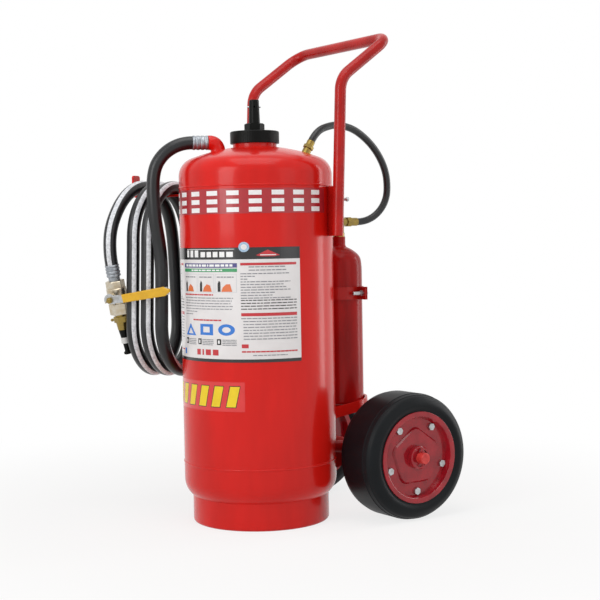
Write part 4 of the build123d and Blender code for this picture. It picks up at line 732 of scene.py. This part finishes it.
# ---------------------------------------------------------------- ball valve and nozzle
# A nickel-plated brass ball valve. A steel lever with a yellow vinyl sleeve turns its ball, and a
# black moulded nozzle with a white band screws into its brass adaptor.
coupling = carried("nozzle_coupling", "nickel_brass", nickel, 0.6)
valve = carried("valve_body", "nickel_brass", nickel, 0.6)
carried("valve_ball", "nickel_brass", nickel, 0.1)
carried("valve_seats", "ptfe", ptfe, 0.1)
carried("valve_stem", "brass", brass, 0.2)
carried("gland_nut", "brass", brass, 0.4)
carried("valve_lever", "zinc_steel", zinc, 0.3)
carried("lever_grip", "yellow_vinyl", vinyl, 0.8)
carried("lever_nut", "brass", brass, 0.4)
carried("nozzle_adaptor", "brass", brass, 0.4)
carried("nozzle_tip", "black_plastic", black_abs, 0.3)
carried("nozzle_band", "white_plastic", white_abs, 0.1)

# ---------------------------------------------------------------- handle
# One length of steel tube bent into a push handle, on a web plate at each side of the shell.
# The handle and its brackets take the red enamel darkened as painted shade.
carried("handle_frame", "red_paint", red_enamel_darkened_as_painted_shade, 0.3, 40)
carried("handle_brackets", "red_paint", red_enamel_darkened_as_painted_shade, 0)

# ---------------------------------------------------------------- gas bottle and its fixings
# A small seamless bottle stands in a flat-bar cradle and is held by a strap in two halves.
bottle_profile = rounded([
    (0, 256), (26, 248, 6), (46, 246, 6), (54, 249, 6), (54, 578, 22), (50, 600, 18), (30, 616, 12),
    (15.5, 622, 6), (15.5, 646, 1), (9.6, 646), (9.6, 616), (0, 616)], 8)
bottle = turned("bottle_looks", bottle_profile, (0, 0.2328, 0), steps=96, angle=50)
fit(bottle, "gas_bottle", "dark_red_paint", bottle_enamel)
carried("gas_cradle", "red_paint", red_enamel, 0.6)
# The strap halves take the red enamel darkened as painted shade.
carried("clamp_front", "red_paint", red_enamel_darkened_as_painted_shade, 0.4)
carried("clamp_rear", "red_paint", red_enamel_darkened_as_painted_shade, 0.4)
carried("clamp_bolts", "zinc_steel", zinc, 0.3)
carried("gas_valve_body", "brass", brass, 0.4)
carried("gas_valve_spindle", "zinc_steel", zinc, 0.4)
carried("gas_hose_fitting_low", "brass", brass, 0.4)
carried("gas_hose_fitting_high", "brass", brass, 0.4)
carried("gas_inlet_boss", "brass", brass, 0.4)
carried("gas_tube", "zinc_steel", zinc, 0)

# ---------------------------------------------------------------- axle and wheels
# A solid axle in two welded sleeves. Each wheel has a cast hub between two pressed rim halves
# that are bolted together through it and clamp a moulded solid rubber tyre.
carried("axle", "axle_red", axle_paint, 0.4)
carried("axle_brackets", "dark_red_paint", bottle_enamel, 0.5)
carried("axle_washers", "dark_red_paint", rim_enamel, 0.3)
carried("split_pins", "dark_red_paint", rim_enamel, 0)

tyre_profile = rounded([
    (96, -57.6, 1), (106.3, -57.6, 4), (118.5, -64.2, 9), (136.5, -55, 8), (140.3, -46, 0.6),
    (141.3, -46, 0.6), (143, -34, 0.6), (144, -34, 0.6), (144, 34, 0.6), (143, 34, 0.6), (141.3, 46, 0.6),
    (140.3, 46, 0.6), (136.5, 55, 8), (118.5, 64.2, 9), (106.3, 57.6, 4), (96, 57.6, 1)], 6)


def wheel(hand, word):
    """The tyre, rims, hub and bolts of one side: hand is 1 on the right and -1 on the left."""
    hub_at, outwards = (hand * 0.199, 0.262, 0.144), (hand, 0, 0)
    tyre = turned("tyre_looks_" + word, tyre_profile, hub_at, outwards, 144, 50)
    fit(tyre, "tyre_" + word, "tyre_rubber", tyre_rubber)
    carried("rim_outer_" + word, "dark_red_paint", rim_enamel, 0.4, 28)
    carried("rim_inner_" + word, "dark_red_paint", rim_enamel, 0.4, 28)
    carried("hub_" + word, "dark_red_paint", rim_enamel, 0.5)
    carried("rim_bolts_" + word, "zinc_steel", zinc, 0.4)


wheel(1, "right")
wheel(-1, "left")
